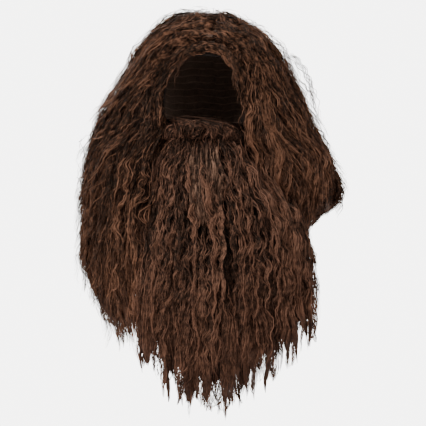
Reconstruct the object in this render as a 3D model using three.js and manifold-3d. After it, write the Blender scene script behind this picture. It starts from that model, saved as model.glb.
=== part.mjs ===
// A long wavy wig with a matching full beard, in the form that they take when they are worn.
// Millimetres, +Z up. The face opening looks along -Y and the viewer's right is +X.
// The origin is where the top of the head meets the inside of the wig cap.
import * as THREE from "three";
import { mergeVertices } from "three/addons/utils/BufferGeometryUtils.js";
import Module from "manifold-3d";

const wasm = await Module();
wasm.setup();

// Head that the set fits
const HEAD_WIDTH = 156;
const HEAD_DEPTH = 196;
const HEAD_HEIGHT = 226; // from the top of the head to the chin
const HEAD_TILT = THREE.MathUtils.degToRad(4); // the viewer's right side of the head is lower

// Fabric walls
const CAP_WALL = 1.8;
const BAND_WALL = 2.6;
const BAND_WIDTH = 13;
const BASE_WALL = 1.8;
const STRAP_WALL = 1.2;
const STRAP_WIDTH = 9;
const SEAT_GAP = 0.3; // left between pieces that touch
const LOCK_GAP = 0.6; // left round a lock that lies in other hair

// Wig hair
const CROWN_LIFT = 14; // how far the hair stands above the head
const SIDE_REACH = 203; // the farthest that it gets from the middle, to each side
const FRONT_REACH = 136;
const BACK_REACH = 156;
const WIG_FALL = 550; // from the crown to the lowest tip
const WIG_LOCKS = 18;
const PART_PULL = 1.7; // how strongly the upper locks gather at the part, 1 being not at all
const WHORL_SETBACK = 30; // the part ends this far behind the top of the head
const SPLIT_SLOPE = THREE.MathUtils.degToRad(35); // of the lines between the side hair and the back hair

// Beard
const LIP_DROP = 161; // from the top of the head to the top edge of the moustache
const BEARD_FALL = 439; // from there to the lowest tip
const BEARD_LEFT_SPREAD = 43; // how much wider than the face the beard gets on each side
const BEARD_RIGHT_SPREAD = 122;
const BEARD_BULK = 60; // the most that it stands out in front of the face
const BEARD_SIDE_WALL = 20; // its thickness along its two sides
const BEARD_LOCKS = 9;
const MOUTH_WIDTH = 36;
const MOUTH_HEIGHT = 9;
const MOUTH_DROP = 190; // from the top of the head to the middle of the mouth opening

// Locks
const LOCK_RELIEF = 8; // depth of the groove between two locks
const LOCK_SWAY = 7; // how far a lock wanders to each side
const SWAY_LENGTH = 120; // of one full wander
const TIP_NOTCH = 46; // how much higher a groove ends than the tips beside it
const TIP_WALL = 6; // thickness of a tip
const COLUMNS_PER_LOCK = 4;
const TAPER_START = 0.84; // share of a lock's fall at which it starts to thin out

// Small locks
const FRINGE_RADIUS = 9;
const MOUSTACHE_RADIUS = 12;
const TUFT_WIDTH = 56;
const TUFT_THICKNESS = 18;
const TUFT_FALL = 118;
const TUFT_SETBACK = 3; // from the mouth opening to the tuft's top

// How finely the forms are drawn
const HEAD_COLUMNS = 24;
const WIG_ROWS = 16;
const BEARD_ROWS = 10;
const ROUND_SIDES = 10;
const HEAD_SQUARENESS = 2.2; // 2 is an ellipse, more is squarer
const HAIR_SQUARENESS = 2.4;
const FAR = 1200; // reach of the cutting shapes, beyond all hair

// Shares of HEAD_HEIGHT down from the top of the head, of half of HEAD_WIDTH and of half of HEAD_DEPTH.
const HEAD_SECTIONS = [
  { level: 0.02, side: 0.36, front: 0.33, back: 0.37 },
  { level: 0.07, side: 0.62, front: 0.6, back: 0.66 },
  { level: 0.16, side: 0.83, front: 0.81, back: 0.88 },
  { level: 0.28, side: 0.95, front: 0.93, back: 0.98 },
  { level: 0.42, side: 1.0, front: 0.98, back: 1.0 },
  { level: 0.55, side: 0.99, front: 0.98, back: 0.95 },
  { level: 0.68, side: 0.95, front: 0.965, back: 0.84 },
  { level: 0.8, side: 0.88, front: 0.95, back: 0.73 },
  { level: 0.9, side: 0.78, front: 0.92, back: 0.67 },
  { level: 1.0, side: 0.6, front: 0.84, back: 0.62 },
  { level: 1.05, side: 0.42, front: 0.7, back: 0.5 },
];
const HEAD_END = 1.07;

// The space for the neck and shoulders, in the same shares.
const NECK_SECTIONS = [
  { level: 0.8, side: 0.8, front: 0.62, back: 0.62 },
  { level: 0.86, side: 1.04, front: 0.72, back: 0.78 },
  { level: 1.15, side: 1.22, front: 0.64, back: 0.84 },
  { level: 1.33, side: 1.47, front: 0.7, back: 0.97 },
  { level: 1.5, side: 1.7, front: 0.8, back: 1.08 },
  { level: 1.77, side: 1.78, front: 0.9, back: 1.14 },
  { level: 2.9, side: 1.7, front: 0.97, back: 1.14 },
];

// Shares of WIG_FALL down from the crown, of SIDE_REACH to each side, of FRONT_REACH and of BACK_REACH.
const WIG_SECTIONS = [
  { drop: 0, left: 0, right: 0, front: 0, back: 0 },
  { drop: 0.011, left: 0.34, right: 0.12, front: 0.3, back: 0.28 },
  { drop: 0.04, left: 0.42, right: 0.26, front: 0.42, back: 0.39 },
  { drop: 0.068, left: 0.49, right: 0.36, front: 0.61, back: 0.56 },
  { drop: 0.096, left: 0.57, right: 0.44, front: 0.69, back: 0.66 },
  { drop: 0.125, left: 0.62, right: 0.51, front: 0.74, back: 0.71 },
  { drop: 0.18, left: 0.68, right: 0.58, front: 0.79, back: 0.78 },
  { drop: 0.238, left: 0.77, right: 0.65, front: 0.81, back: 0.82 },
  { drop: 0.294, left: 0.86, right: 0.71, front: 0.83, back: 0.86 },
  { drop: 0.35, left: 0.9, right: 0.77, front: 0.86, back: 0.89 },
  { drop: 0.407, left: 0.95, right: 0.86, front: 0.89, back: 0.92 },
  { drop: 0.464, left: 0.98, right: 0.93, front: 0.92, back: 0.96 },
  { drop: 0.52, left: 0.98, right: 1, front: 0.95, back: 0.98 },
  { drop: 0.576, left: 0.97, right: 0.95, front: 0.98, back: 1 },
  { drop: 0.7, left: 1, right: 0.72, front: 1, back: 1 },
  { drop: 0.8, left: 0.94, right: 0.66, front: 0.97, back: 0.97 },
  { drop: 0.86, left: 0.89, right: 0.62, front: 0.95, back: 0.94 },
  { drop: 0.937, left: 0.72, right: 0.58, front: 0.93, back: 0.9 },
  { drop: 1, left: 0.6, right: 0.55, front: 0.9, back: 0.85 },
];

// Where the hair ends, by degrees round from the front, as a share of WIG_FALL. The viewer's right is positive.
const WIG_TIPS = [
  { angle: -180, fall: 0.93 },
  { angle: -145, fall: 0.9 },
  { angle: -118, fall: 0.78 },
  { angle: -90, fall: 0.74 },
  { angle: -62, fall: 0.86 },
  { angle: -35, fall: 0.94 },
  { angle: -4, fall: 0.95 },
  { angle: 0, fall: 0.62 },
  { angle: 100, fall: 0.62 },
  { angle: 125, fall: 0.68 },
  { angle: 145, fall: 0.85 },
  { angle: 180, fall: 0.93 },
];

// The face opening's two edges: shares of HEAD_HEIGHT and of half of HEAD_WIDTH.
const FACE_OPENING = [
  { level: 0.25, left: 0.1, right: 0.02 },
  { level: 0.283, left: 0.49, right: 0.1 },
  { level: 0.35, left: 0.76, right: 0.31 },
  { level: 0.46, left: 0.9, right: 0.45 },
  { level: 0.545, left: 0.95, right: 0.5 },
  { level: 0.664, left: 0.96, right: 0.47 },
];

// The beard's two sides: shares of BEARD_FALL down from the lip, and of the two spreads.
const BEARD_ROOT = { left: 0.96, right: 0.45 }; // shares of half of HEAD_WIDTH, at the lip
const BEARD_SIDES = [
  { drop: 0, left: 0, right: 0 },
  { drop: 0.076, left: 0.2, right: 0.15 },
  { drop: 0.14, left: 0.42, right: 0.3 },
  { drop: 0.23, left: 0.62, right: 0.52 },
  { drop: 0.32, left: 0.75, right: 0.73 },
  { drop: 0.38, left: 0.8, right: 0.82 },
  { drop: 0.51, left: 0.9, right: 0.88 },
  { drop: 0.64, left: 1, right: 0.94 },
  { drop: 0.7, left: 1, right: 1 },
];

// The beard from the side: its front as a share of BEARD_BULK, and its back as a share of half of HEAD_DEPTH.
const BEARD_PROFILE = [
  { drop: 0, front: 0.08, back: 0.39 },
  { drop: 0.076, front: 0.22, back: 0.42 },
  { drop: 0.14, front: 0.5, back: 0.46 },
  { drop: 0.2, front: 0.68, back: 0.62 },
  { drop: 0.32, front: 0.9, back: 0.79 },
  { drop: 0.41, front: 0.98, back: 0.88 },
  { drop: 0.51, front: 1, back: 0.94 },
  { drop: 0.68, front: 0.92, back: 0.98 },
  { drop: 0.86, front: 0.76, back: 1 },
  { drop: 1, front: 0.56, back: 1 },
];

// Where the beard ends, by the share of the way across from the viewer's left, as a share of BEARD_FALL.
const BEARD_TIPS = [
  { across: 0, fall: 0.8 },
  { across: 0.12, fall: 0.89 },
  { across: 0.24, fall: 0.96 },
  { across: 0.38, fall: 0.99 },
  { across: 0.52, fall: 1 },
  { across: 0.65, fall: 0.93 },
  { across: 0.75, fall: 0.87 },
  { across: 0.87, fall: 0.83 },
  { across: 0.94, fall: 0.74 },
  { across: 1, fall: 0.7 },
];

// The wig cap's edge from the side: shares of half of HEAD_DEPTH, forward being negative, and of HEAD_HEIGHT.
const CAP_EDGE = [
  { y: -1.2, level: 0.26 },
  { y: -0.8, level: 0.29 },
  { y: -0.62, level: 0.42 },
  { y: -0.5, level: 0.62 },
  { y: -0.4, level: 0.68 },
  { y: -0.22, level: 0.68 },
  { y: -0.1, level: 0.61 },
  { y: 0.15, level: 0.6 },
  { y: 0.35, level: 0.7 },
  { y: 0.6, level: 0.79 },
  { y: 1.2, level: 0.81 },
];

// The beard backing from the side, in the same shares, running round it.
const BASE_OUTLINE = [
  { y: -1.3, level: 0.715 },
  { y: -0.62, level: 0.71 },
  { y: -0.3, level: 0.7 },
  { y: -0.3, level: 0.8 },
  { y: -0.42, level: 0.91 },
  { y: -0.62, level: 1.01 },
  { y: -0.9, level: 1.2 },
  { y: -1.3, level: 1.2 },
];

// The elastic strap's middle line from the side, in the same shares.
const STRAP_LINE = [
  { y: -0.5, level: 0.75 },
  { y: -0.3, level: 0.755 },
  { y: 0.1, level: 0.79 },
  { y: 0.5, level: 0.86 },
  { y: 1.2, level: 0.875 },
];

const COLOURS = {
  hair: { color: 0x3a2117, roughness: 0.55 },
  lightHair: { color: 0x553628, roughness: 0.55 },
  cap: { color: 0x2a1a14, roughness: 0.9 },
  elastic: { color: 0x1b1413, roughness: 0.85 },
};

const halfWidth = HEAD_WIDTH / 2;
const halfDepth = HEAD_DEPTH / 2;
const lean = Math.tan(HEAD_TILT);

// The row of a table at a value of its first column, mixed from the two rows beside it.
function rowAt(table, key, value) {
  const last = table.length - 1;
  if (value <= table[0][key]) return table[0];
  if (value >= table[last][key]) return table[last];
  const next = table.findIndex((row) => row[key] > value);
  const share = THREE.MathUtils.inverseLerp(table[next - 1][key], table[next][key], value);
  const mixed = {};
  for (const name of Object.keys(table[next])) {
    mixed[name] = THREE.MathUtils.lerp(table[next - 1][name], table[next][name], share);
  }
  return mixed;
}

// Rings of points from top to bottom, counterclockwise from above, as one closed surface.
// An end closes to a point, or without one each point joins the one across the ring.
function loft(rings, top, bottom) {
  const size = rings[0].length;
  const points = rings.flat();
  const faces = [];
  for (let k = 0; k < rings.length - 1; k++) {
    for (let i = 0; i < size; i++) {
      const j = (i + 1) % size;
      const [a, b, c, d] = [k * size + i, k * size + j, (k + 1) * size + i, (k + 1) * size + j];
      faces.push([a, c, d], [a, d, b]);
    }
  }
  const closeEnd = (first, point, isTop) => {
    const add = (a, b, c) => faces.push(isTop ? [a, b, c] : [a, c, b]);
    if (point) {
      const tip = points.push(point) - 1;
      for (let i = 0; i < size; i++) add(tip, first + i, first + ((i + 1) % size));
      return;
    }
    for (let i = 0; i < size / 2 - 1; i++) {
      const [a, b, c, d] = [first + i, first + i + 1, first + size - 2 - i, first + size - 1 - i];
      add(a, b, c);
      add(a, c, d);
    }
  };
  closeEnd(0, top, true);
  closeEnd((rings.length - 1) * size, bottom, false);
  const geometry = new THREE.BufferGeometry().setFromPoints(points);
  geometry.setIndex(faces.flat());
  geometry.computeVertexNormals();
  return geometry;
}

// A closed geometry as a solid for joining and cutting.
function solidOf(geometry) {
  const bare = geometry.clone();
  bare.deleteAttribute("normal");
  bare.deleteAttribute("uv");
  const merged = mergeVertices(bare);
  return new wasm.Manifold(
    new wasm.Mesh({
      numProp: 3,
      vertProperties: merged.attributes.position.array,
      triVerts: new Uint32Array(merged.index.array),
    }),
  );
}

function geometryOf(solid) {
  const mesh = solid.getMesh();
  const geometry = new THREE.BufferGeometry();
  geometry.setAttribute("position", new THREE.BufferAttribute(mesh.vertProperties, 3));
  geometry.setIndex(new THREE.BufferAttribute(mesh.triVerts, 1));
  geometry.computeVertexNormals();
  return geometry;
}

// The same form with each point moved outward by a distance.
function inflated(geometry, distance) {
  const grown = geometry.clone();
  const { position, normal } = grown.attributes;
  for (let i = 0; i < position.count; i++) {
    const point = new THREE.Vector3().fromBufferAttribute(position, i);
    point.addScaledVector(new THREE.Vector3().fromBufferAttribute(normal, i), distance);
    position.setXYZ(i, point.x, point.y, point.z);
  }
  return grown;
}

// A point on a rounded section, by its angle round from the front towards +X.
function sectionPoint({ left, right, front, back }, angle, z, squareness) {
  const [s, c] = [Math.sin(angle), Math.cos(angle)];
  const power = 2 / squareness;
  const x = Math.sign(s) * Math.abs(s) ** power * (s < 0 ? left : right);
  const y = -Math.sign(c) * Math.abs(c) ** power * (c < 0 ? back : front);
  return new THREE.Vector3(x, y, z);
}

function bodySection(table, level) {
  const row = rowAt(table, "level", level);
  const side = row.side * halfWidth;
  return { left: side, right: side, front: row.front * halfDepth, back: row.back * halfDepth };
}

function headPoint(angle, level) {
  return sectionPoint(bodySection(HEAD_SECTIONS, level), angle, -level * HEAD_HEIGHT, HEAD_SQUARENESS);
}

function neckPoint(angle, level) {
  return sectionPoint(bodySection(NECK_SECTIONS, level), angle, -level * HEAD_HEIGHT, HEAD_SQUARENESS);
}

function roundAngles(count) {
  return Array.from({ length: count }, (_, i) => (2 * Math.PI * i) / count);
}

function headForm() {
  const rings = HEAD_SECTIONS.map(({ level }) => roundAngles(HEAD_COLUMNS).map((a) => headPoint(a, level)));
  return loft(rings, new THREE.Vector3(), new THREE.Vector3(0, 0, -HEAD_END * HEAD_HEIGHT));
}

function neckForm() {
  const rings = NECK_SECTIONS.map(({ level }) => roundAngles(HEAD_COLUMNS).map((a) => neckPoint(a, level)));
  const ends = [NECK_SECTIONS[0].level, NECK_SECTIONS.at(-1).level + 1];
  const [top, bottom] = ends.map((level) => new THREE.Vector3(0, 0, -level * HEAD_HEIGHT));
  const deepRing = rings.at(-1).map((p) => new THREE.Vector3(p.x, p.y, bottom.z));
  return loft([...rings, deepRing], top, bottom);
}

// A flat outline pushed through the model. Outline points are [across, up] on the plane that the axis is square to.
function prism(points, axis, from, to) {
  const shape = new THREE.Shape(points.map(([u, v]) => new THREE.Vector2(u, v)));
  const geometry = new THREE.ExtrudeGeometry(shape, { depth: to - from, bevelEnabled: false });
  geometry.translate(0, 0, from);
  // The extrusion runs along +Z, and these turn it to run along +X or -Y.
  if (axis === "x") geometry.applyMatrix4(new THREE.Matrix4().set(0, 0, 1, 0, 1, 0, 0, 0, 0, 1, 0, 0, 0, 0, 0, 1));
  if (axis === "-y") geometry.rotateX(Math.PI / 2);
  return geometry;
}

// A side outline in head shares, through the whole width of the head.
function sidePrism(rows) {
  const points = rows.map(({ y, level }) => [y * halfDepth, -level * HEAD_HEIGHT]);
  return solidOf(prism(points, "x", -FAR, FAR));
}

const head = headForm();

// The fabric between the head and a surface outside it, where it lies within a region.
function fabric(wall, region) {
  return solidOf(inflated(head, wall)).subtract(solidOf(head)).intersect(region);
}

// The cap's edge lifted by a height, with the region above it closed far over the head.
function aboveEdge(lift) {
  const rows = CAP_EDGE.map(({ y, level }) => ({ y, level: level - lift / HEAD_HEIGHT }));
  const top = -FAR / HEAD_HEIGHT;
  return sidePrism([...rows, { y: rows.at(-1).y, level: top }, { y: rows[0].y, level: top }]);
}

function makeCap() {
  return fabric(CAP_WALL, aboveEdge(BAND_WIDTH + SEAT_GAP));
}

function makeBand() {
  return fabric(BAND_WALL, aboveEdge(0).subtract(aboveEdge(BAND_WIDTH)));
}

function makeBase() {
  return fabric(BASE_WALL, sidePrism(BASE_OUTLINE)).subtract(mouthCut(0));
}

function makeStrap() {
  const half = STRAP_WIDTH / 2 / HEAD_HEIGHT;
  const upper = STRAP_LINE.map(({ y, level }) => ({ y, level: level - half }));
  const lower = STRAP_LINE.map(({ y, level }) => ({ y, level: level + half })).reverse();
  const seam = sidePrism(BASE_OUTLINE).translate([0, SEAT_GAP, 0]);
  return fabric(STRAP_WALL, sidePrism([...upper, ...lower]).subtract(seam));
}

// The mouth opening, in the head's own frame.
function mouthCut(margin) {
  const ring = roundAngles(ROUND_SIDES * 2).map((a) => [
    Math.sin(a) * (MOUTH_WIDTH / 2 + margin),
    Math.cos(a) * (MOUTH_HEIGHT / 2 + margin) - MOUTH_DROP,
  ]);
  return solidOf(prism(ring.reverse(), "-y", halfDepth / 2, FAR));
}

// One lock along a curve, round in section, with its radius at shares of the way along.
function lockAlong(points, radii) {
  const curve = new THREE.CatmullRomCurve3(points);
  const steps = (points.length - 1) * 3;
  const frames = curve.computeFrenetFrames(steps);
  const rings = [];
  for (let k = 1; k < steps; k++) {
    const share = k / steps;
    const radius = rowAt(radii, "along", share).radius;
    const centre = curve.getPointAt(share);
    rings.push(
      roundAngles(ROUND_SIDES).map((a) =>
        centre
          .clone()
          .addScaledVector(frames.normals[k], Math.cos(a) * radius)
          .addScaledVector(frames.binormals[k], Math.sin(a) * radius),
      ),
    );
  }
  return loft(rings.reverse(), curve.getPointAt(1), curve.getPointAt(0));
}

// The moustache half on the viewer's right (side 1) or left (side -1), lying on the beard backing.
function moustacheForm(side) {
  const route = [
    { degrees: 0, level: 0.765 },
    { degrees: 14, level: 0.77 },
    { degrees: 30, level: 0.795 },
    { degrees: 43, level: 0.84 },
    { degrees: 52, level: 0.9 },
    { degrees: 57, level: 1.0 },
  ];
  const lift = BASE_WALL + MOUSTACHE_RADIUS * 0.8;
  const points = route.map(({ degrees, level }) => {
    const angle = side * THREE.MathUtils.degToRad(degrees);
    const point = headPoint(angle, Math.min(level, 0.9));
    point.z = -level * HEAD_HEIGHT;
    const outward = new THREE.Vector3(Math.sin(angle), -Math.cos(angle), 0);
    return point.addScaledVector(outward, lift);
  });
  points[0].x = side * (SEAT_GAP / 2 + MOUSTACHE_RADIUS * 0.1);
  return lockAlong(points, [
    { along: 0, radius: MOUSTACHE_RADIUS * 0.8 },
    { along: 0.35, radius: MOUSTACHE_RADIUS },
    { along: 0.75, radius: MOUSTACHE_RADIUS * 0.85 },
    { along: 1, radius: MOUSTACHE_RADIUS * 0.35 },
  ]);
}

const moustacheForms = { left: moustacheForm(-1), right: moustacheForm(1) };

function makeMoustache(name) {
  const side = name === "left" ? -1 : 1;
  const halfSpace = prism(
    [
      [side * (SEAT_GAP / 2), -FAR],
      [side * FAR, -FAR],
      [side * FAR, FAR],
      [side * (SEAT_GAP / 2), FAR],
    ],
    "-y",
    -FAR,
    FAR,
  );
  return solidOf(moustacheForms[name])
    .intersect(solidOf(halfSpace))
    .subtract(solidOf(inflated(head, BASE_WALL + SEAT_GAP)))
    .subtract(mouthCut(0));
}

// The height of a lock's surface across it, from 0 in the groove to 1 on its crest.
function crest(across) {
  return Math.sin(Math.PI * (across % 1));
}

function sway(z, phase) {
  return LOCK_SWAY * Math.sin((2 * Math.PI * z) / SWAY_LENGTH + phase);
}

// How much of its full bulk a lock keeps at a share of its fall: all of it, then round to nothing at the tip.
function fullness(share) {
  const end = Math.max(0, (share - TAPER_START) / (1 - TAPER_START));
  return Math.sqrt(Math.max(0, 1 - end * end));
}

// How far round from the front a column runs at a height: near the part it gathers, and it goes round the face.
function sweptAngle(angle, z, section) {
  const opening = openingSides(z);
  const [edge, side] = angle < 0 ? [opening.left, section.left] : [opening.right, section.right];
  const edgeAngle = Math.asin(Math.min(1, Math.max(0, edge / side)) ** (HAIR_SQUARENESS / 2));
  const pull = THREE.MathUtils.lerp(PART_PULL, 1, Math.min(1, (CROWN_LIFT - z) / HEAD_HEIGHT));
  return Math.sign(angle) * THREE.MathUtils.lerp(edgeAngle, Math.PI, (Math.abs(angle) / Math.PI) ** pull);
}

// A point of the wig hair's outer surface, for a column at an angle from the front and a share of its fall.
function wigPoint(angle, z, share, ridge) {
  const row = rowAt(WIG_SECTIONS, "drop", (CROWN_LIFT - z) / WIG_FALL);
  const section = {
    left: row.left * SIDE_REACH,
    right: row.right * SIDE_REACH,
    front: row.front * FRONT_REACH,
    back: row.back * BACK_REACH,
  };
  const swing = (sway(z, 3 * angle) / SIDE_REACH) * Math.min(1, share / 0.3) * Math.abs(Math.sin(angle));
  const route = sweptAngle(angle, z, section) + swing;
  const outer = sectionPoint(section, route, z, HAIR_SQUARENESS);
  const radius = Math.hypot(outer.x, outer.y);
  const relief = LOCK_RELIEF * (1 - ridge) * Math.min(1, share / 0.12);
  const inner = neckPoint(route, -z / HEAD_HEIGHT);
  const innerRadius = Math.hypot(inner.x, inner.y) + TIP_WALL;
  const thinned = THREE.MathUtils.lerp(innerRadius, radius - relief, fullness(share));
  return outer.multiply(new THREE.Vector3(thinned / radius, thinned / radius, 1));
}

function wigForm() {
  const columns = WIG_LOCKS * COLUMNS_PER_LOCK;
  const rings = [];
  for (let k = 1; k <= WIG_ROWS; k++) {
    const share = (k / WIG_ROWS) ** 1.35;
    rings.push(
      roundAngles(columns).map((turn, i) => {
        const angle = turn > Math.PI ? turn - 2 * Math.PI : turn;
        const degrees = THREE.MathUtils.radToDeg(angle);
        const ridge = crest(i / COLUMNS_PER_LOCK);
        const unevenness = 0.035 * Math.sin(5 * angle);
        const fall = (rowAt(WIG_TIPS, "angle", degrees).fall + unevenness) * WIG_FALL - TIP_NOTCH * (1 - ridge);
        return wigPoint(angle, CROWN_LIFT - share * fall, share, ridge);
      }),
    );
  }
  const middle = new THREE.Vector3(0, 0, CROWN_LIFT - 0.8 * WIG_FALL);
  return loft(rings, new THREE.Vector3(0, 0, CROWN_LIFT), middle);
}

// The beard's edges at a height, as distances to each side of the origin.
function beardSides(z) {
  const { left, right } = rowAt(BEARD_SIDES, "drop", (-LIP_DROP - z) / BEARD_FALL);
  return {
    left: BEARD_ROOT.left * halfWidth + left * BEARD_LEFT_SPREAD,
    right: BEARD_ROOT.right * halfWidth + right * BEARD_RIGHT_SPREAD,
  };
}

// How far to each side the front is open at a height: none above the face, then the face, then the beard's place.
function openingSides(z) {
  const level = -z / HEAD_HEIGHT;
  if (z < -LIP_DROP) return beardSides(z);
  if (level < FACE_OPENING[0].level) return { left: 0, right: 0 };
  const { left, right } = rowAt(FACE_OPENING, "level", level);
  return { left: left * halfWidth, right: right * halfWidth };
}

// What the side hair leaves open from the front, less a margin.
function frontOpening(margin) {
  const faceHeights = FACE_OPENING.map(({ level }) => -level * HEAD_HEIGHT);
  const beardHeights = BEARD_SIDES.map(({ drop }) => -LIP_DROP - 0.01 - drop * BEARD_FALL);
  const rows = [...faceHeights, ...beardHeights, -FAR].map((z) => ({ z, ...openingSides(z) }));
  const down = rows.map(({ z, left }) => [margin - left, z]);
  const up = rows.map(({ z, right }) => [right - margin, z]).reverse();
  return prism([...down, ...up], "-y", halfDepth * 0.2, FAR);
}

// The lock that lines the top of the face opening, from temple to temple.
function fringeForm() {
  const row = (z) => rowAt(FACE_OPENING, "level", -z / HEAD_HEIGHT);
  const levels = [0.5, 0.41, 0.336, 0.29];
  const edge = (level, side) => {
    const z = -level * HEAD_HEIGHT;
    const x = side < 0 ? -row(z).left * halfWidth : row(z).right * halfWidth;
    return new THREE.Vector3(x + side * FRINGE_RADIUS * 0.8, 0, z + FRINGE_RADIUS * 0.8);
  };
  const crown = new THREE.Vector3(-0.04 * halfWidth, 0, -0.26 * HEAD_HEIGHT + FRINGE_RADIUS);
  const points = [
    ...levels.map((level) => edge(level, -1)),
    crown,
    ...levels.map((level) => edge(level, 1)).reverse(),
  ];
  for (const point of points) {
    const section = bodySection(HEAD_SECTIONS, -point.z / HEAD_HEIGHT);
    const across = Math.min(0.95, Math.abs(point.x) / section.right);
    point.y = -section.front * (1 - across ** HEAD_SQUARENESS) ** (1 / HEAD_SQUARENESS) - FRINGE_RADIUS * 1.3;
  }
  return lockAlong(points, [
    { along: 0, radius: FRINGE_RADIUS * 0.4 },
    { along: 0.25, radius: FRINGE_RADIUS },
    { along: 0.75, radius: FRINGE_RADIUS },
    { along: 1, radius: FRINGE_RADIUS * 0.4 },
  ]);
}

// The beard hair's front and back surface at a share across, in one ring for each height.
function beardForm() {
  const columns = BEARD_LOCKS * COLUMNS_PER_LOCK + 1;
  const rings = [];
  for (let k = 0; k <= BEARD_ROWS; k++) {
    const share = (k / BEARD_ROWS) ** 1.1;
    const [front, back] = [[], []];
    for (let j = 0; j < columns; j++) {
      const across = j / (columns - 1);
      const ridge = crest(j / COLUMNS_PER_LOCK);
      const top = beardSides(-LIP_DROP);
      const topX = THREE.MathUtils.lerp(-top.left, top.right, across);
      const fall = rowAt(BEARD_TIPS, "across", across).fall * BEARD_FALL - TIP_NOTCH * (1 - ridge);
      const z = -LIP_DROP - lean * topX * (1 - share) - share * fall;
      const { left, right } = beardSides(z);
      const swing = sway(z, 6 * across) * Math.sin(Math.PI * across) * share;
      const x = THREE.MathUtils.lerp(-left, right, across) + swing;
      const profile = rowAt(BEARD_PROFILE, "drop", (-LIP_DROP - z) / BEARD_FALL);
      const backY = -profile.back * halfDepth;
      const bulge = (1 - Math.abs(2 * across - 1) ** 2.4) ** 0.6;
      const sideY = backY - BEARD_SIDE_WALL;
      const frontY = -halfDepth - profile.front * BEARD_BULK;
      const full = THREE.MathUtils.lerp(sideY, frontY, bulge) + LOCK_RELIEF * (1 - ridge) * bulge;
      front.push(new THREE.Vector3(x, THREE.MathUtils.lerp(backY - TIP_WALL, full, fullness(share)), z));
      back.push(new THREE.Vector3(x, backY, z));
    }
    rings.push([...front, ...back.reverse()]);
  }
  return loft(rings);
}

// The straighter hair under the lip, flat and tapered, standing a little proud of the beard, grown by a margin.
function tuftForm(margin) {
  const rows = [
    { drop: 0, width: 0.7, proud: 0.3 },
    { drop: 0.12, width: 0.86, proud: 0.4 },
    { drop: 0.4, width: 1, proud: 0.4 },
    { drop: 0.75, width: 0.82, proud: 0.3 },
    { drop: 1, width: 0.3, proud: -0.1 },
  ];
  const topZ = -MOUTH_DROP - MOUTH_HEIGHT / 2 - TUFT_SETBACK + margin;
  const rings = rows.map(({ drop, width, proud }) => {
    const z = topZ - drop * (TUFT_FALL + 2 * margin);
    const profile = rowAt(BEARD_PROFILE, "drop", (-LIP_DROP - z) / BEARD_FALL);
    const y = -halfDepth - profile.front * BEARD_BULK + TUFT_THICKNESS * (0.5 - proud);
    const x = -lean * MOUTH_DROP;
    return roundAngles(ROUND_SIDES).map(
      (a) =>
        new THREE.Vector3(
          x + Math.sin(a) * ((width * TUFT_WIDTH) / 2 + margin),
          y - Math.cos(a) * (TUFT_THICKNESS / 2 + margin),
          z,
        ),
    );
  });
  const middle = (ring) => ring.reduce((sum, p) => sum.add(p), new THREE.Vector3()).divideScalar(ring.length);
  return loft(rings, middle(rings[0]), middle(rings.at(-1)));
}

const toWorn = new THREE.Matrix4().makeRotationY(HEAD_TILT);
const worn = (geometry) => geometry.clone().applyMatrix4(toWorn);

function makeTuft() {
  return solidOf(tuftForm(0)).subtract(solidOf(worn(inflated(head, BASE_WALL + SEAT_GAP))));
}

function makeBeard() {
  let beard = solidOf(beardForm())
    .intersect(solidOf(frontOpening(SEAT_GAP)))
    .subtract(solidOf(worn(inflated(head, BASE_WALL + SEAT_GAP))))
    .subtract(solidOf(tuftForm(LOCK_GAP)))
    .subtract(mouthCut(2).transform(toWorn.elements));
  for (const form of Object.values(moustacheForms)) {
    beard = beard.subtract(solidOf(worn(inflated(form, LOCK_GAP))));
  }
  return largest(beard);
}

// The biggest of the bodies that a cut leaves.
function largest(solid) {
  return solid.decompose().sort((a, b) => b.volume() - a.volume())[0];
}

// Seen from above, the hair divides along the part and along two lines that slope back from its end.
function planRegion(name) {
  const rise = Math.tan(SPLIT_SLOPE) * FAR;
  const half = SEAT_GAP / 2;
  const side = name === "left" ? -1 : 1;
  const back = WHORL_SETBACK + SEAT_GAP / Math.cos(SPLIT_SLOPE);
  const points =
    name === "back"
      ? [
          [0, back],
          [FAR, back + rise],
          [FAR, 2 * FAR],
          [-FAR, 2 * FAR],
          [-FAR, back + rise],
        ]
      : [
          [side * half, -FAR],
          [side * FAR, -FAR],
          [side * FAR, WHORL_SETBACK + rise],
          [side * half, WHORL_SETBACK + Math.tan(SPLIT_SLOPE) * half],
        ];
  return solidOf(prism(points, "z", -FAR, FAR));
}

const fringe = fringeForm();
let wigHair = solidOf(wigForm())
  .subtract(solidOf(worn(inflated(head, BAND_WALL + SEAT_GAP))))
  .subtract(solidOf(neckForm()))
  .subtract(solidOf(frontOpening(0)))
  .subtract(solidOf(inflated(fringe, LOCK_GAP)));
for (const form of Object.values(moustacheForms)) {
  wigHair = wigHair.subtract(solidOf(worn(inflated(form, LOCK_GAP))));
}

function makeFringe() {
  return solidOf(fringe).subtract(solidOf(worn(inflated(head, BAND_WALL + SEAT_GAP))));
}

function piece(name, solid, look) {
  const mesh = new THREE.Mesh(geometryOf(solid), new THREE.MeshStandardMaterial({ ...COLOURS[look], name: look }));
  mesh.name = name;
  return mesh;
}

// What is shaped to the head tilts with it. What hangs does not.
const onHead = new THREE.Group();
onHead.rotation.y = HEAD_TILT;
onHead.add(
  piece("wig_cap", makeCap(), "cap"),
  piece("cap_band", makeBand(), "elastic"),
  piece("beard_backing", makeBase(), "cap"),
  piece("beard_strap", makeStrap(), "elastic"),
  piece("moustache_left", makeMoustache("left"), "hair"),
  piece("moustache_right", makeMoustache("right"), "hair"),
);

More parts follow.
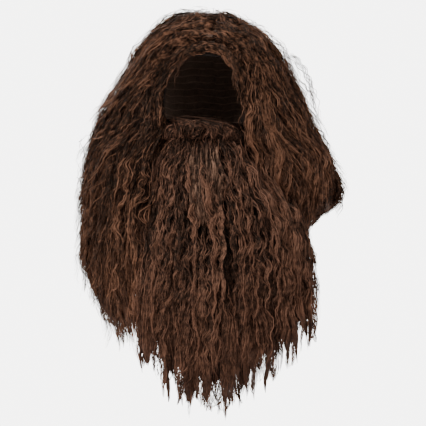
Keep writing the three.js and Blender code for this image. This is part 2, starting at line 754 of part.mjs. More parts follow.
const set = new THREE.Group();
set.add(
  onHead,
  piece("fringe", makeFringe(), "hair"),
  piece("hair_left", largest(wigHair.intersect(planRegion("left"))), "hair"),
  piece("hair_right", largest(wigHair.intersect(planRegion("right"))), "hair"),
  piece("hair_back", largest(wigHair.intersect(planRegion("back"))), "hair"),
  piece("beard_hair", makeBeard(), "hair"),
  piece("chin_tuft", makeTuft(), "lightHair"),
);

export default set;
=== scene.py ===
# %% [markdown]
# # A long wavy wig and a matching full beard
# A costume wig is a stretchy net cap with rows of sewn synthetic hair, called wefts. The beard is the same
# hair sewn to a shaped piece of fabric that an elastic strap holds to the face. The hair is crimped: each
# strand zigzags every two centimetres or so, and strands that lie side by side zigzag together. That shared
# rhythm is what the eye reads as "wavy hair", so the whole lesson is about making it.
# %% Load the frame
import math

import bmesh
import bpy
import numpy as np
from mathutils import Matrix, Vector
from mathutils.bvhtree import BVHTree


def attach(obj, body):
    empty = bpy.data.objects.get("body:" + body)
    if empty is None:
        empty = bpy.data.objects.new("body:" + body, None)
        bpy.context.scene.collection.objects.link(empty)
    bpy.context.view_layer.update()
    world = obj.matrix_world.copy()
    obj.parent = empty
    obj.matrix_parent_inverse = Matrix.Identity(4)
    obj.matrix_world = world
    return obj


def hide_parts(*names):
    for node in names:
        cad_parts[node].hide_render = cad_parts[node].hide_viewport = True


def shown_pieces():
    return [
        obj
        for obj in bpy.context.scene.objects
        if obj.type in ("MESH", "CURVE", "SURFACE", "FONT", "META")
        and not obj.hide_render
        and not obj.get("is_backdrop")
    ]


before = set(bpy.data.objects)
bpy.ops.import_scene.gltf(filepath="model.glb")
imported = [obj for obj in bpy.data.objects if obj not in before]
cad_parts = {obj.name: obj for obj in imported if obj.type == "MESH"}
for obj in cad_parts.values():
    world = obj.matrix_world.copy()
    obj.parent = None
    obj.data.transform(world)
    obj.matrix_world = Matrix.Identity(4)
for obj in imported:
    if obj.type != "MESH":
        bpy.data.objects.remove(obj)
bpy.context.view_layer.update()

WIG_NODES = ("hair_left", "hair_right", "hair_back")

# %% [markdown]
# ## Short ways to build things
# Materials are made of many small nodes. The functions here create a node, set its constants and link the
# outputs that feed it, all in one call, so a material reads as a few lines from its pattern to its shader.
# %% Helpers for nodes and objects
def feed(tree, sockets, values):
    """Sets each named socket to a constant, or links it to the output that feeds it."""
    for name, value in values.items():
        if isinstance(value, bpy.types.NodeSocket):
            tree.links.new(value, sockets[name])
        else:
            sockets[name].default_value = value


def add_node(tree, kind, inputs=None, **settings):
    node = tree.nodes.new("ShaderNode" + kind)
    for name, value in settings.items():
        setattr(node, name, value)
    feed(tree, node.inputs, inputs or {})
    return node.outputs


def ranged(tree, value, old, new):
    """A value whose range old is stretched to the range new."""
    limits = dict(zip(("From Min", "From Max", "To Min", "To Max"), (*old, *new)))
    return add_node(tree, "MapRange", {"Value": value, **limits})["Result"]


def maths(tree, operation, *values, **settings):
    return add_node(tree, "Math", dict(enumerate(values)), operation=operation, **settings)[0]


def mixed(tree, factor, first, second, blend="MIX"):
    inputs = {"Factor": factor, "A": first, "B": second}
    return add_node(tree, "Mix", inputs, data_type="RGBA", blend_type=blend)["Result"]


def bumped(tree, height, strength, distance):
    inputs = {"Height": height, "Strength": strength, "Distance": distance}
    return add_node(tree, "Bump", inputs)["Normal"]


def shaded(tree, value, low, high):
    """A colour ramp between two ends, each a position and a colour."""
    node = tree.nodes.new("ShaderNodeValToRGB")
    for element, (position, colour) in zip(node.color_ramp.elements, (low, high)):
        element.position, element.color = position, (*colour, 1)
    tree.links.new(value, node.inputs["Fac"])
    return node.outputs["Color"]


def new_group(name, inputs, outputs):
    """An empty node group, with the default value of every socket."""
    tree = bpy.data.node_groups.new(name, "ShaderNodeTree")
    for way, sockets in (("INPUT", inputs), ("OUTPUT", outputs)):
        for label, value in sockets.items():
            kind = "NodeSocketFloat" if isinstance(value, float) else "NodeSocketColor"
            made = tree.interface.new_socket(name=label, in_out=way, socket_type=kind)
            made.default_value = value
    return tree, tree.nodes.new("NodeGroupInput").outputs, tree.nodes.new("NodeGroupOutput").inputs


def new_material(name, values_of):
    """A material whose shader inputs are what a function of its node tree returns."""
    material = bpy.data.materials.new(name)
    material.use_nodes = True
    tree = material.node_tree
    feed(tree, tree.nodes["Principled BSDF"].inputs, values_of(tree))
    return material


def linked(name, data):
    thing = bpy.data.objects.new(name, data)
    bpy.context.collection.objects.link(thing)
    return thing


def mesh_object(name, verts, faces):
    mesh = bpy.data.meshes.new(name)
    verts = np.asarray(verts, np.float32).reshape(-1, 3)
    faces = np.asarray(faces, np.int32)
    mesh.vertices.add(len(verts))
    mesh.vertices.foreach_set("co", verts.ravel())
    mesh.loops.add(faces.size)
    mesh.loops.foreach_set("vertex_index", faces.ravel())
    mesh.polygons.add(len(faces))
    starts = np.arange(0, faces.size, faces.shape[1], dtype=np.int32)
    mesh.polygons.foreach_set("loop_start", starts)
    mesh.polygons.foreach_set("use_smooth", np.ones(len(faces), bool))
    mesh.update(calc_edges=True)
    return linked(name, mesh)


def dress(piece, material, nodes):
    """Gives a piece its material, hides the frame's solids it stands for and hangs it on the root body."""
    piece.data.materials.clear()
    piece.data.materials.append(material)
    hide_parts(*nodes)
    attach(piece, "root")
    print(piece.name, "faces", len(piece.data.polygons))
    return piece


print("helpers ready")

# %% [markdown]
# ## The camera and the studio
# The photograph is a head-and-chest portrait, taken from eye level with a long lens, so the camera stands
# 2.6 m in front of the crown and sees a square 0.64 m wide at the face. A paper backdrop would hide the
# object when the camera walks round it, so the white background is the world itself: rays from the camera
# meet a bright white, and all other rays a dimmer one, which is the soft fill light. A round pale floor
# lies below. Big soft lights near the camera, above and behind give the gentle light of a catalogue picture.
# %% Camera, backdrop and lights
FACE_DISTANCE = 2.5
VIEW_WIDTH = 0.639
SENSOR_WIDTH = 36
CAMERA_POINT = (-0.002, -2.6, -0.299)
FLOOR_HEIGHT, FLOOR_RADIUS = -0.9, 1.25
LIGHTS_AIM = (0, 0, -0.28)
LIGHTS = (  # name, place, size and power
    ("key_light", (-1.9, -2.1, 0.9), (1.1, 1.4), 84),
    ("fill_light", (1.8, -2.2, 0.3), (1.4, 1.8), 16),
    ("top_light", (0.2, -0.3, 1.9), (1.6, 1.2), 29),
    ("back_light", (-0.9, 2.3, 0.9), (2.0, 1.6), 50),
)
WORLD_WHITE = (1.0, 0.99, 0.98, 1)
SEEN_STRENGTH, FILL_STRENGTH = 6.0, 0.4


def add_camera():
    data = bpy.data.cameras.new("camera")
    data.sensor_width = SENSOR_WIDTH
    data.lens = SENSOR_WIDTH * FACE_DISTANCE / VIEW_WIDTH
    camera = linked("camera", data)
    camera.location = CAMERA_POINT
    camera.rotation_euler = (math.radians(90), 0, 0)
    bpy.context.scene.camera = camera


def add_floor(height, radius, rings=12, sides=96):
    turns = np.arange(sides) * 2 * math.pi / sides
    sizes = radius * np.linspace(0, 1, rings) ** 0.8 + 0.0001
    verts = [(r * math.cos(turn), r * math.sin(turn), height) for r in sizes for turn in turns]
    faces = [
        (ring * sides + k, (ring + 1) * sides + k, (ring + 1) * sides + after, ring * sides + after)
        for ring in range(rings - 1)
        for k, after in ((k, (k + 1) % sides) for k in range(sides))
    ]
    return mesh_object("studio_floor", verts, faces)


def add_light(name, place, size, power):
    data = bpy.data.lights.new(name, "AREA")
    data.shape = "RECTANGLE"
    data.size, data.size_y = size
    data.energy = power
    light = linked(name, data)
    light.location = place
    light.rotation_euler = (Vector(LIGHTS_AIM) - Vector(place)).to_track_quat("-Z", "Y").to_euler()


def add_world():
    world = bpy.data.worlds.new("studio")
    world.use_nodes = True
    tree = world.node_tree
    seen_by_camera = add_node(tree, "LightPath")["Is Camera Ray"]
    strength = ranged(tree, seen_by_camera, (0, 1), (FILL_STRENGTH, SEEN_STRENGTH))
    feed(tree, tree.nodes["Background"].inputs, {"Color": WORLD_WHITE, "Strength": strength})
    bpy.context.scene.world = world


add_camera()
floor = add_floor(FLOOR_HEIGHT, FLOOR_RADIUS)
paper = {"Base Color": (0.9, 0.9, 0.9, 1), "Roughness": 0.9}
floor.data.materials.append(new_material("studio_paper", lambda tree: paper))
floor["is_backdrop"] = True
for light in LIGHTS:
    add_light(*light)
add_world()
print("camera and studio ready")

# %% [markdown]
# ## Measuring the form to comb
# Every strand has to lie on the wig's outer form. The frame's solids hold that form, so rays are shot at
# them once and the answers are kept in two kinds of map. The wig's map goes round the head: its rows start
# at the crown, run over the dome and then straight down, and each cell holds the distance from the middle.
# The beard's map is like a relief: for each place seen from the front it holds how far forward the hair
# stands. Reading a map at thousands of points at once takes a moment, where shooting a ray for each would not.
# %% Maps of the wig
DOME_CENTRE = np.array([0.0, 0.0, -0.1])
DOME_RADIUS = 0.1
DOME_END = DOME_RADIUS * math.pi / 2
RIM_STEP = math.radians(3)
DOWN_STEP = 0.005
ROUND = np.arange(-60, 61) * RIM_STEP
DOWN = np.arange(0, 0.58, DOWN_STEP)
RAY_START, RAY_LENGTH = 0.5, 0.46
OPENING_TOP, OPENING_EASE = 0.03, 0.095  # m down from the crown


def gathered(nodes):
    """The points and triangles of some of the frame's solids, as one."""
    verts, faces = [], []
    for node in nodes:
        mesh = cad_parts[node].data
        start = len(verts)
        verts += [tuple(v.co) for v in mesh.vertices]
        faces += [[start + i for i in p.vertices] for p in mesh.polygons]
    return verts, faces


def dome_ray(azimuth, down):
    """The base and direction of the line from the middle to a place on the wig's map."""
    flat = np.array([math.sin(azimuth), -math.cos(azimuth), 0.0])
    if down < DOME_END:
        tilt = down / DOME_RADIUS
        return DOME_CENTRE, flat * math.sin(tilt) + np.array([0, 0, math.cos(tilt)])
    return DOME_CENTRE - np.array([0, 0, down - DOME_END]), flat


def wig_map(nodes):
    tree = BVHTree.FromPolygons(*gathered(nodes))
    found = np.full((len(ROUND), len(DOWN)), np.nan)
    for i, azimuth in enumerate(ROUND):
        for j, down in enumerate(DOWN):
            base, out = dome_ray(azimuth, down)
            hit = tree.ray_cast(Vector(base + out * RAY_START), Vector(-out), RAY_LENGTH)
            if hit[0] is not None:
                found[i, j] = RAY_START - hit[3]
    return outer_only(found)


def outer_only(grid, from_down=0.2, least=0.56):
    """Forgets hits far inside the widest place of their column: there the ray passed below the hair."""
    widest = np.nanmax(grid, axis=1, keepdims=True)
    return np.where((DOWN > from_down) & (grid < least * widest), np.nan, grid)


def fill_gaps(grid):
    """Fills unknown cells from known ones, first down each column and then across."""
    filled = grid.copy()
    for rows in (filled, filled.T):
        for row in rows:
            known = np.flatnonzero(~np.isnan(row))
            if len(known):
                row[:] = np.interp(np.arange(len(row)), known, row[known])
    return filled


def read_map(grid, u, v):
    """The map's values between its cells, for arrays of fractional cell numbers."""
    u = np.clip(u, 0, grid.shape[0] - 1.001)
    v = np.clip(v, 0, grid.shape[1] - 1.001)
    i, j = u.astype(int), v.astype(int)
    a, b = u - i, v - j
    upper = grid[i, j] * (1 - a) + grid[i + 1, j] * a
    lower = grid[i, j + 1] * (1 - a) + grid[i + 1, j + 1] * a
    return upper * (1 - b) + lower * b


def smoothed(grid, passes=2):
    for _ in range(passes):
        for axis in (0, 1):
            border = [(1, 1) if k == axis else (0, 0) for k in range(grid.ndim)]
            padded = np.pad(grid, border, mode="edge")
            rows = [np.take(padded, range(k, k + grid.shape[axis]), axis) for k in range(3)]
            grid = (rows[0] + 2 * rows[1] + rows[2]) / 4
    return grid


def smooth_line(values, passes):
    return smoothed(values[:, None], passes)[:, 0]


def face_edge(side, top_angle, hold_over, hold_from):
    """Where the hair begins beside the face, for every row, eased open from the crown and without steps.

    From row hold_from on it keeps the mean of the rows from hold_over to there."""
    front = len(ROUND) // 2
    edge = np.array([ROUND[front + side * np.argmax(seen[front::side, j])] for j in range(len(DOWN))])
    edge[hold_from:] = edge[hold_over:hold_from].mean()
    eased = math.radians(top_angle) * np.clip((DOWN - OPENING_TOP) / OPENING_EASE, 0, 1) ** 1.3
    widened = side * np.maximum(np.abs(edge), np.abs(eased))
    return smooth_line(np.where(DOWN < 0.13, widened, edge), 10)


wig_hits = wig_map(WIG_NODES)
all_hair = wig_map((*WIG_NODES, "fringe", "beard_hair", "chin_tuft"))
wig_reach = smoothed(fill_gaps(np.fmax(wig_hits, all_hair)))
seen = ~np.isnan(wig_hits)
edge_left = face_edge(-1, -27, 80, 88)
edge_right = face_edge(1, 12, 61, 67)
print("wig map", wig_hits.shape, "cells hit", int(seen.sum()))
print("face edges at 0.2 m down, in degrees", np.degrees([edge_left[40], edge_right[40]]).round(0))

# %% [markdown]
# ## Combing the wig
# On the real wig the hair leaves a part in the middle of the crown, sweeps round the face and hangs. Each
# strand here is a line of constant "share" between the face opening and the back of the head. Where the
# opening widens, every strand beside it moves over a little, so the flow bends round the face by itself.
# Near the crown the shares are pulled together towards the part.
# %% Strand routes on the wig
PART_PULL = ([0, 0.07, 0.26, 0.5], [2.1, 1.9, 1.1, 1.0])  # at these distances down


def edge_and_pull(on_left, down):
    cell, row = down / DOWN_STEP, np.arange(len(DOWN))
    left, right = -np.interp(cell, row, edge_left), np.interp(cell, row, edge_right)
    return np.where(on_left, left, right), np.interp(down, *PART_PULL)


def azimuth_of(share, down):
    """The turn from the front for a share from -1 to 1, in radians, at each place down the wig."""
    edge, pull = edge_and_pull(share < 0, down)
    return np.sign(share) * (edge + (math.pi - edge) * np.abs(share) ** pull)


def share_of(azimuth, down):
    edge, pull = edge_and_pull(azimuth < 0, down)
    part = np.clip((np.abs(azimuth) - edge) / (math.pi - edge), 1e-4, 1)
    return np.sign(azimuth) * part ** (1 / pull)


def pick_cells(rng, weights, count):
    """Random fractional places on a map, more of them where the weights are higher."""
    cell = rng.choice(weights.size, count, p=weights.ravel() / weights.sum())
    i, j = np.unravel_index(cell, weights.shape)
    return i + rng.uniform(-0.5, 0.5, count), j + rng.uniform(-0.5, 0.5, count)


class WigSurface:
    """Places on the wig, by share (0 at the face, 1 and -1 at the back) and distance down."""

    span = (-1.0, 1.0)

    def __init__(self):
        self.shares = np.linspace(-1, 1, 160)
        ends = np.array([self.last_seen(share) for share in self.shares])
        self.tips = np.array([np.sort(ends[max(0, k - 2):k + 3])[-2] for k in range(len(ends))])

    def last_seen(self, share):
        azimuth = azimuth_of(np.full(len(DOWN), share), DOWN)
        cells = np.round((azimuth - ROUND[0]) / RIM_STEP).astype(int)
        cells = np.clip(cells, 0, len(ROUND) - 1)
        return DOWN[np.flatnonzero(seen[cells, np.arange(len(DOWN))])[-1]]

    def tip(self, share):
        return np.interp(share, self.shares, self.tips)

    def keep_side(self, route, share):
        """No strand crosses the face opening from one side to the other."""
        side = np.where(share < 0, -1.0, 1.0)[:, None]
        return side * np.clip(route * side, 0.002, 1.1)

    def pick(self, rng, region, count):
        azimuths, downs = np.meshgrid(ROUND, DOWN, indexing="ij")
        outside = np.where(azimuths < 0, azimuths < edge_left, azimuths > edge_right)
        tilt = np.minimum(downs, DOME_END) / DOME_RADIUS
        weights = np.where(seen & outside, wig_reach * np.sin(tilt + 0.03), 0) * region(azimuths, downs)
        i, j = pick_cells(rng, weights, count)
        down = np.clip(j, 0, None) * DOWN_STEP
        return share_of(ROUND[0] + i * RIM_STEP, down), down

    def place(self, share, down, lift, spill=0.0):
        azimuth = azimuth_of(share, down) + spill
        reach = read_map(wig_reach, (azimuth - ROUND[0]) / RIM_STEP, down / DOWN_STEP)
        tilt = np.minimum(down, DOME_END) / DOME_RADIUS
        flat = np.sin(tilt)
        out = np.stack([np.sin(azimuth) * flat, -np.cos(azimuth) * flat, np.cos(tilt)], -1)
        base = np.zeros_like(out)
        base[..., 2] = DOME_CENTRE[2] - np.maximum(0, down - DOME_END)
        return base + out * (reach + lift)[..., None], out


class SpillingWig(WigSurface):
    """The same wig, but strands near the face may spill a few degrees over the edge, onto the beard."""

    def place(self, share, down, lift):
        near = np.clip(1 - np.abs(share[:, :1]) / 0.22, 0, 1) * np.clip((down - 0.2) / 0.12, 0, 1)
        own = np.sin(share[:, :1] * 4000)
        return super().place(share, down, lift, -np.sign(share) * near * (0.06 + 0.12 * own))


wig_surface, spilling_wig = WigSurface(), SpillingWig()
tips = wig_surface.tips
print("wig tips from", tips.min().round(3), "to", tips.max().round(3), "m down")

# %% [markdown]
# ## One strand, thousands of times
# A strand could be a curve with thickness, a round tube or a flat ribbon. A ribbon needs only two triangles
# for each step, and at this size a tube would look the same, so ribbons win: the saved triangles buy more
# strands. Each ribbon is turned about its own length by a random angle, so its neighbours catch the light
# differently, as round fibres do. All the ribbons of a piece are computed together as one block of numbers.
# %% Ribbons
LOW_LIMIT = np.array([-0.219, -0.172, -0.622])
HIGH_LIMIT = np.array([0.218, 0.17, 0.036])


def unit(vectors):
    return vectors / np.maximum(np.linalg.norm(vectors, axis=-1, keepdims=True), 1e-9)


def eased_inside(points, soft=0.01):
    """Bends what would leave the size limits back along them, instead of cutting it off."""
    for limit, side in ((LOW_LIMIT, -1), (HIGH_LIMIT, 1)):
        over = np.maximum(0, side * (points - limit) + soft)
        points = points - side * (over - soft * (1 - np.exp(-over / soft)))
    return points


def ribbons(points, normals, width, twist):
    """Points, faces and fibre coordinates of flat strands along points[strand, step]."""
    strands, steps, _ = points.shape
    along = unit(np.gradient(points, axis=1))
    across = unit(np.cross(along, normals))
    up = np.cross(across, along)
    side = across * np.cos(twist)[..., None] + up * np.sin(twist)[..., None]
    share = np.linspace(0, 1, steps)
    taper = np.minimum(1, np.minimum((share + 0.04) / 0.12, (1.02 - share) / 0.25)) ** 0.7
    half = side * (width[:, None] * taper / 2)[..., None]
    verts = np.stack([points - half, points + half], 2)
    first = (np.arange(strands)[:, None] * steps + np.arange(steps - 1)).ravel() * 2
    faces = np.stack([first, first + 1, first + 3, first + 2], -1)
    run = np.linalg.norm(np.diff(points, axis=1, prepend=points[:, :1]), axis=2).cumsum(axis=1)
    edges_mm = np.array([-0.5, 0.5]) * 1000
    side_mm = edges_mm * width[:, None, None] + np.zeros((strands, steps, 2))
    number = np.arange(strands)[:, None, None] * 0.618 % 7 + np.zeros_like(side_mm)
    fibre = np.stack([side_mm, np.repeat(run[..., None], 2, 2), number], -1)
    return eased_inside(verts).reshape(-1, 3), faces, fibre.reshape(-1, 3)


def strand_piece(name, batches, nodes, material):
    """One object of ribbons. A batch is (points, normals, width, twist, shade, share of the way down)."""
    verts, faces, fibre = zip(*(ribbons(*batch[:4]) for batch in batches))
    starts = np.cumsum([0] + [len(v) for v in verts])
    faces = np.concatenate([f + start for f, start in zip(faces, starts)])
    piece = mesh_object(name, np.concatenate(verts), faces)
    # shade holds each strand's own tone together with its painted light and shade.
    for label, column, power in (("shade", 4, 2.0), ("tip", 5, 1)):
        values = np.concatenate([np.repeat(batch[column].reshape(-1), 2) for batch in batches])
        attribute = piece.data.attributes.new(label, "FLOAT", "POINT")
        values = np.clip(values, 0, 1) ** power
        attribute.data.foreach_set("value", values.astype(np.float32))
    attribute = piece.data.attributes.new("fibre", "FLOAT_VECTOR", "POINT")
    attribute.data.foreach_set("vector", np.concatenate(fibre).astype(np.float32).ravel())
    return dress(piece, material, nodes)


print("ribbons ready")

# %% [markdown]
# ## The colour of the fibre
# The hair is dyed one brown, but no two fibres come out alike, light fibres lie among dark ones and the thin
# ends look redder. The ribbons carry two numbers for this: a shade of their own, and how near the tip each
# step is. Their shade also holds painted light: painted shade on strands that lie deeper, and painted
# highlights and shade where the crimp bends. A node group turns them into a colour and a roughness, and two
# noises break both up: one in patches, one along the fibres. It is a group because the wig, the beard, the
# moustache and the chin hair all use it, each with its own browns.
# %% A group that tints strands
PATCH_SIZE = 165.0
FIBRE_SCALE = (2.6, 26, 31)  # across in mm, along in m, and by the ribbon's own number
ANY_BROWN = (0.1, 0.05, 0.03, 1)
STRAND_SHEEN = (1.0, 0.72, 0.56, 1)


def strand_tint():
    tree, given, made = new_group(
        "strand_tint",
        {"Dark": ANY_BROWN, "Light": ANY_BROWN, "Tip": ANY_BROWN, "Patch Size": PATCH_SIZE},
        {"Colour": ANY_BROWN, "Roughness": 0.5, "Fibres": 0.5},
    )
    shade, tip, fibre = (
        add_node(tree, "Attribute", attribute_name=name) for name in ("shade", "tip", "fibre")
    )
    noise = {"Vector": add_node(tree, "TexCoord")["Object"], "Scale": given["Patch Size"]}
    patches = add_node(tree, "TexNoise", {**noise, "Detail": 4, "Roughness": 0.62})["Fac"]
    stretched = {0: fibre["Vector"], 1: FIBRE_SCALE}
    stretched = add_node(tree, "VectorMath", stretched, operation="MULTIPLY")["Vector"]
    fine = add_node(tree, "TexNoise", {"Vector": stretched, "Scale": 1, "Detail": 1})["Fac"]
    # The shade attribute is each strand's own tone plus painted shade on deeper strands and painted highlights
    # and shade on the crimp's bends.
    patchy = maths(tree, "ADD", shade["Fac"], ranged(tree, patches, (0.3, 0.7), (-0.5, 0.5)))
    streaky = ranged(tree, fine, (0.3, 0.7), (-0.3, 0.3))
    total = maths(tree, "ADD", patchy, streaky, use_clamp=True)
    brown = mixed(tree, total, given["Dark"], given["Light"])
    late = ranged(tree, tip["Fac"], (0.55, 1), (0, 0.34))
    feed(tree, made, {
        "Colour": mixed(tree, late, brown, given["Tip"]),
        "Roughness": ranged(tree, patches, (0, 1), (0.42, 0.66)),
        "Fibres": fine,
    })
    return tree


STRAND_TINT = strand_tint()


def fibre_material(name, dark, light, tip):
    def values_of(tree):
        browns = {"Dark": (*dark, 1), "Light": (*light, 1), "Tip": (*tip, 1)}
        tint = add_node(tree, "Group", browns, node_tree=STRAND_TINT)
        return {
            "Base Color": tint["Colour"],
            "Roughness": tint["Roughness"],
            "Specular IOR Level": 0.22,
            "Specular Tint": STRAND_SHEEN,
            "Normal": bumped(tree, tint["Fibres"], 0.5, 0.0006),
        }
    return new_material(name, values_of)


wig_fibre, beard_fibre, lip_fibre, chin_fibre = (
    fibre_material(*browns)
    for browns in (
        ("wig_fibre", (0.0032, 0.0014, 0.0009), (0.225, 0.102, 0.058), (0.15, 0.062, 0.034)),
        ("beard_fibre", (0.0032, 0.0014, 0.001), (0.2, 0.092, 0.056), (0.14, 0.058, 0.034)),
        ("lip_fibre", (0.003, 0.0014, 0.001), (0.15, 0.068, 0.042), (0.12, 0.05, 0.03)),
        ("chin_fibre", (0.01, 0.005, 0.0032), (0.21, 0.113, 0.073), (0.14, 0.066, 0.041)),
    )
)
print("fibre materials ready")

# %% [markdown]
# ## The mass under the strands
# Ribbons alone would let light through. On the real wig the layers below hide the cap, so each body of hair
# gets an under-layer: the frame's solid, remeshed evenly and pulled in a little, with fine upright ridges
# pushed into it. Its material is darker than the strands: painted shade, for the shadow deep in the hair, so
# the gaps between them read as depth.
# %% Under-layers
RIDGE_HEIGHT = 0.0005


def painted_shade_under_hair_values(tree):
    place = add_node(tree, "TexCoord")["Object"]
    upright = add_node(tree, "Mapping", {"Vector": place, "Scale": (420, 420, 26)})["Vector"]
    noise = {"Vector": upright, "Scale": 1, "Detail": 4, "Distortion": 0.6}
    streaks = add_node(tree, "TexNoise", noise)["Fac"]
    # Painted shade: the colour runs only from near black to a dark brown, the shadow deep inside the hair.
    low, high = (0.35, (0.003, 0.0012, 0.0006)), (0.75, (0.028, 0.01, 0.004))
    return {
        "Base Color": shaded(tree, streaks, low, high),
        "Roughness": 0.85,
        "Specular IOR Level": 0.15,
        "Normal": bumped(tree, streaks, 0.8, 0.002),
    }


painted_shade_under_hair = new_material("painted_shade_under_hair", painted_shade_under_hair_values)


def points_of(mesh):
    """A mesh's points and normals as arrays."""
    points, normals = (np.empty(len(mesh.vertices) * 3, np.float32) for _ in range(2))
    mesh.vertices.foreach_get("co", points)
    mesh.vertices.foreach_get("normal", normals)
    return points.reshape(-1, 3), normals.reshape(-1, 3)


def move_points(mesh, points):
    mesh.vertices.foreach_set("co", points.ravel())
    mesh.polygons.foreach_set("use_smooth", np.ones(len(mesh.polygons), bool))


def under_layer(name, nodes, inset=0.0042, voxel=0.009, above_tips=None):
    rough = mesh_object("rough_form", *gathered(nodes))
    remesh = rough.modifiers.new("even", "REMESH")
    remesh.mode = "VOXEL"
    remesh.voxel_size = voxel
    evaluated = rough.evaluated_get(bpy.context.evaluated_depsgraph_get())
    mesh = bpy.data.meshes.new_from_object(evaluated)
    bpy.data.objects.remove(rough)
    points, normals = points_of(mesh)
    around = np.arctan2(points[:, 0], -points[:, 1])
    fine_ridges = np.sin(150 * around + 9 * np.sin(points[:, 2] * 130))
    ridges = fine_ridges + np.sin(67 * around + points[:, 2] * 60)
    at_crown = np.clip(-points[:, 2] / 0.04, 0.1, 1)
    points = points + normals * (ridges * RIDGE_HEIGHT - inset * at_crown)[:, None]
    if above_tips:
        points[:, 2] += above_tips(points)
    move_points(mesh, points)
    mesh.update()
    return dress(linked(name, mesh), painted_shade_under_hair, nodes)


def above_wig_tips(points):
    """How far to raise the wig's under-layer, so that only strands make the hem."""
    down = DOME_END + np.maximum(0, DOME_CENTRE[2] - points[:, 2])
    tip = wig_surface.tip(share_of(np.arctan2(points[:, 0], -points[:, 1]), down))
    return 0.55 * np.maximum(0, down - tip + 0.04)


under_layer("under_wig", WIG_NODES, above_tips=above_wig_tips)

# %% [markdown]
# ## The crimp
# Factory crimping presses whole bundles of fibre between hot plates, so the bundle is the unit: its strands
# share a fine zigzag of about a centimetre, and three bundles make a lock with a slower wave of its own. The
# steps along a strand are nearly half a zigzag long, which gives the sharp, slightly irregular bends of
# crimped hair at the lowest cost. A strand's place in the rhythm is measured down the hair and not from its
# own start, so that neighbours always bend together. The bends also carry painted highlights and shade: the
# strand is painted lighter where they stand out and darker where they sink.
# %% Bundles and waves
STEP = 0.005
LONG_STEP = 0.0075  # where the hair hangs straighter
TURN = 2 * math.pi


class Bundles:
    """The shared rhythm, depth and shade of each bundle of strands."""

    def __init__(self, rng, count, pitch=0.0118, crimp=0.0008, wave=0.0022, depth=0.0022, jitter=0.00045):
        lock = np.arange(count) // 3
        locks = count // 3 + 1
        self.count = count
        self.jitter = jitter
        self.phase = rng.uniform(0, TURN, count)
        self.wave_phase = rng.uniform(0, TURN, locks)[lock] + rng.normal(0, 0.5, count)
        self.swell_phase = rng.uniform(0, TURN, locks)[lock]
        self.pitch = pitch * rng.uniform(0.75, 1.35, count)
        self.wave_pitch = rng.uniform(0.028, 0.05, locks)[lock]
        self.crimp = crimp * rng.uniform(0.5, 1.4, count)
        self.wave = wave * rng.uniform(0.4, 1.4, count)
        self.depth = depth * (1.5 * rng.normal(0, 1, locks)[lock] + rng.normal(0, 0.7, count))
        self.shade = rng.normal(0, 0.15, locks)[lock] + rng.normal(0, 0.22, count)

    def of(self, share, span):
        """Each strand's bundle, and the share at that bundle's middle."""
        whole = span[1] - span[0]
        bundle = ((share - span[0]) / whole * self.count).astype(int)
        bundle = np.clip(bundle, 0, self.count - 1)
        return bundle, span[0] + (bundle + 0.5) / self.count * whole


def waved(points, normals, travel, bundle, bundles, rng, left_over=1.0):
    """Strand points moved sideways and in and out by their bundle's waves, and the painted light and shade that
    go with them: lighter where the waves stand out, darker where they sink.

    left_over is the distance to the hair's own tip: the last centimetres hang straighter."""
    def each(values):
        return values[bundle][:, None]

    along = unit(np.gradient(points, axis=1))
    across = unit(np.cross(along, normals))
    strands = len(points)
    own = rng.normal(0, 0.4, strands)[:, None]
    fine = each(bundles.phase) + own + TURN * travel / each(bundles.pitch)
    slow = each(bundles.wave_phase) + own / 2 + TURN * travel / each(bundles.wave_pitch)
    swell = each(bundles.swell_phase) + travel * 75
    wander = rng.uniform(0, 6.3, strands)[:, None] + travel * rng.uniform(50, 140, strands)[:, None]
    calm = np.clip(left_over / 0.1, 0.25, 1)
    crimp = (bundles.crimp[bundle] * rng.uniform(0.6, 1.4, strands))[:, None] * calm
    wave = each(bundles.wave) * calm
    jitter = bundles.jitter * rng.normal(0, 1, (2, *travel.shape))
    sideways = crimp * np.sin(fine) + wave * (np.sin(slow) + 0.4 * np.sin(wander)) + jitter[0]
    in_and_out = wave * (0.9 * np.cos(slow) + 0.9 * np.sin(swell))
    outward = 0.8 * crimp * np.cos(fine) + in_and_out + jitter[1]
    # Painted light: the strand is lighter where the crimp, the slow wave and the swell stand out and darker
    # where they sink, as if each bend caught the light.
    shade = 0.26 * np.sin(fine + 0.9) + 0.16 * np.cos(slow) + 0.1 * np.sin(swell)
    return points + across * sideways[..., None] + normals * outward[..., None], shade


def lift_profile(steps, base, sunk_start, sunk_end):
    """A strand comes up from the layer below, lies at its own height, and may go under again."""
    share = np.linspace(0, 1, steps)
    start = np.clip(1 - share / 0.15, 0, 1) ** 2
    end = np.clip((share - 0.8) / 0.2, 0, 1) ** 2
    return base[:, None] - sunk_start * start - sunk_end[:, None] * end


print("waves ready")

# %% [markdown]
# ## One comb for every surface
# Starting points are scattered over a surface, and from each one a strand is combed down its route. Most are 8
# to 24 cm long: a strand that ran all the way from the part would be costly, and where one dives under its
# neighbours and another comes up the eye sees one long hair. Under the fine strands lie broader ribbons, whole
# locks whose fibres are drawn by the material. At the hem the strands of a bundle run together into a point
# and pass the end of the solid lock a little, some more and some less, which gives the ragged hem.
# %% The comb
FINE, LOCK = 0.0008, 0.0042
SHORTEST = 0.02
HEM_STAGGER = 0.045
HEM_CONTRAST = 1.7


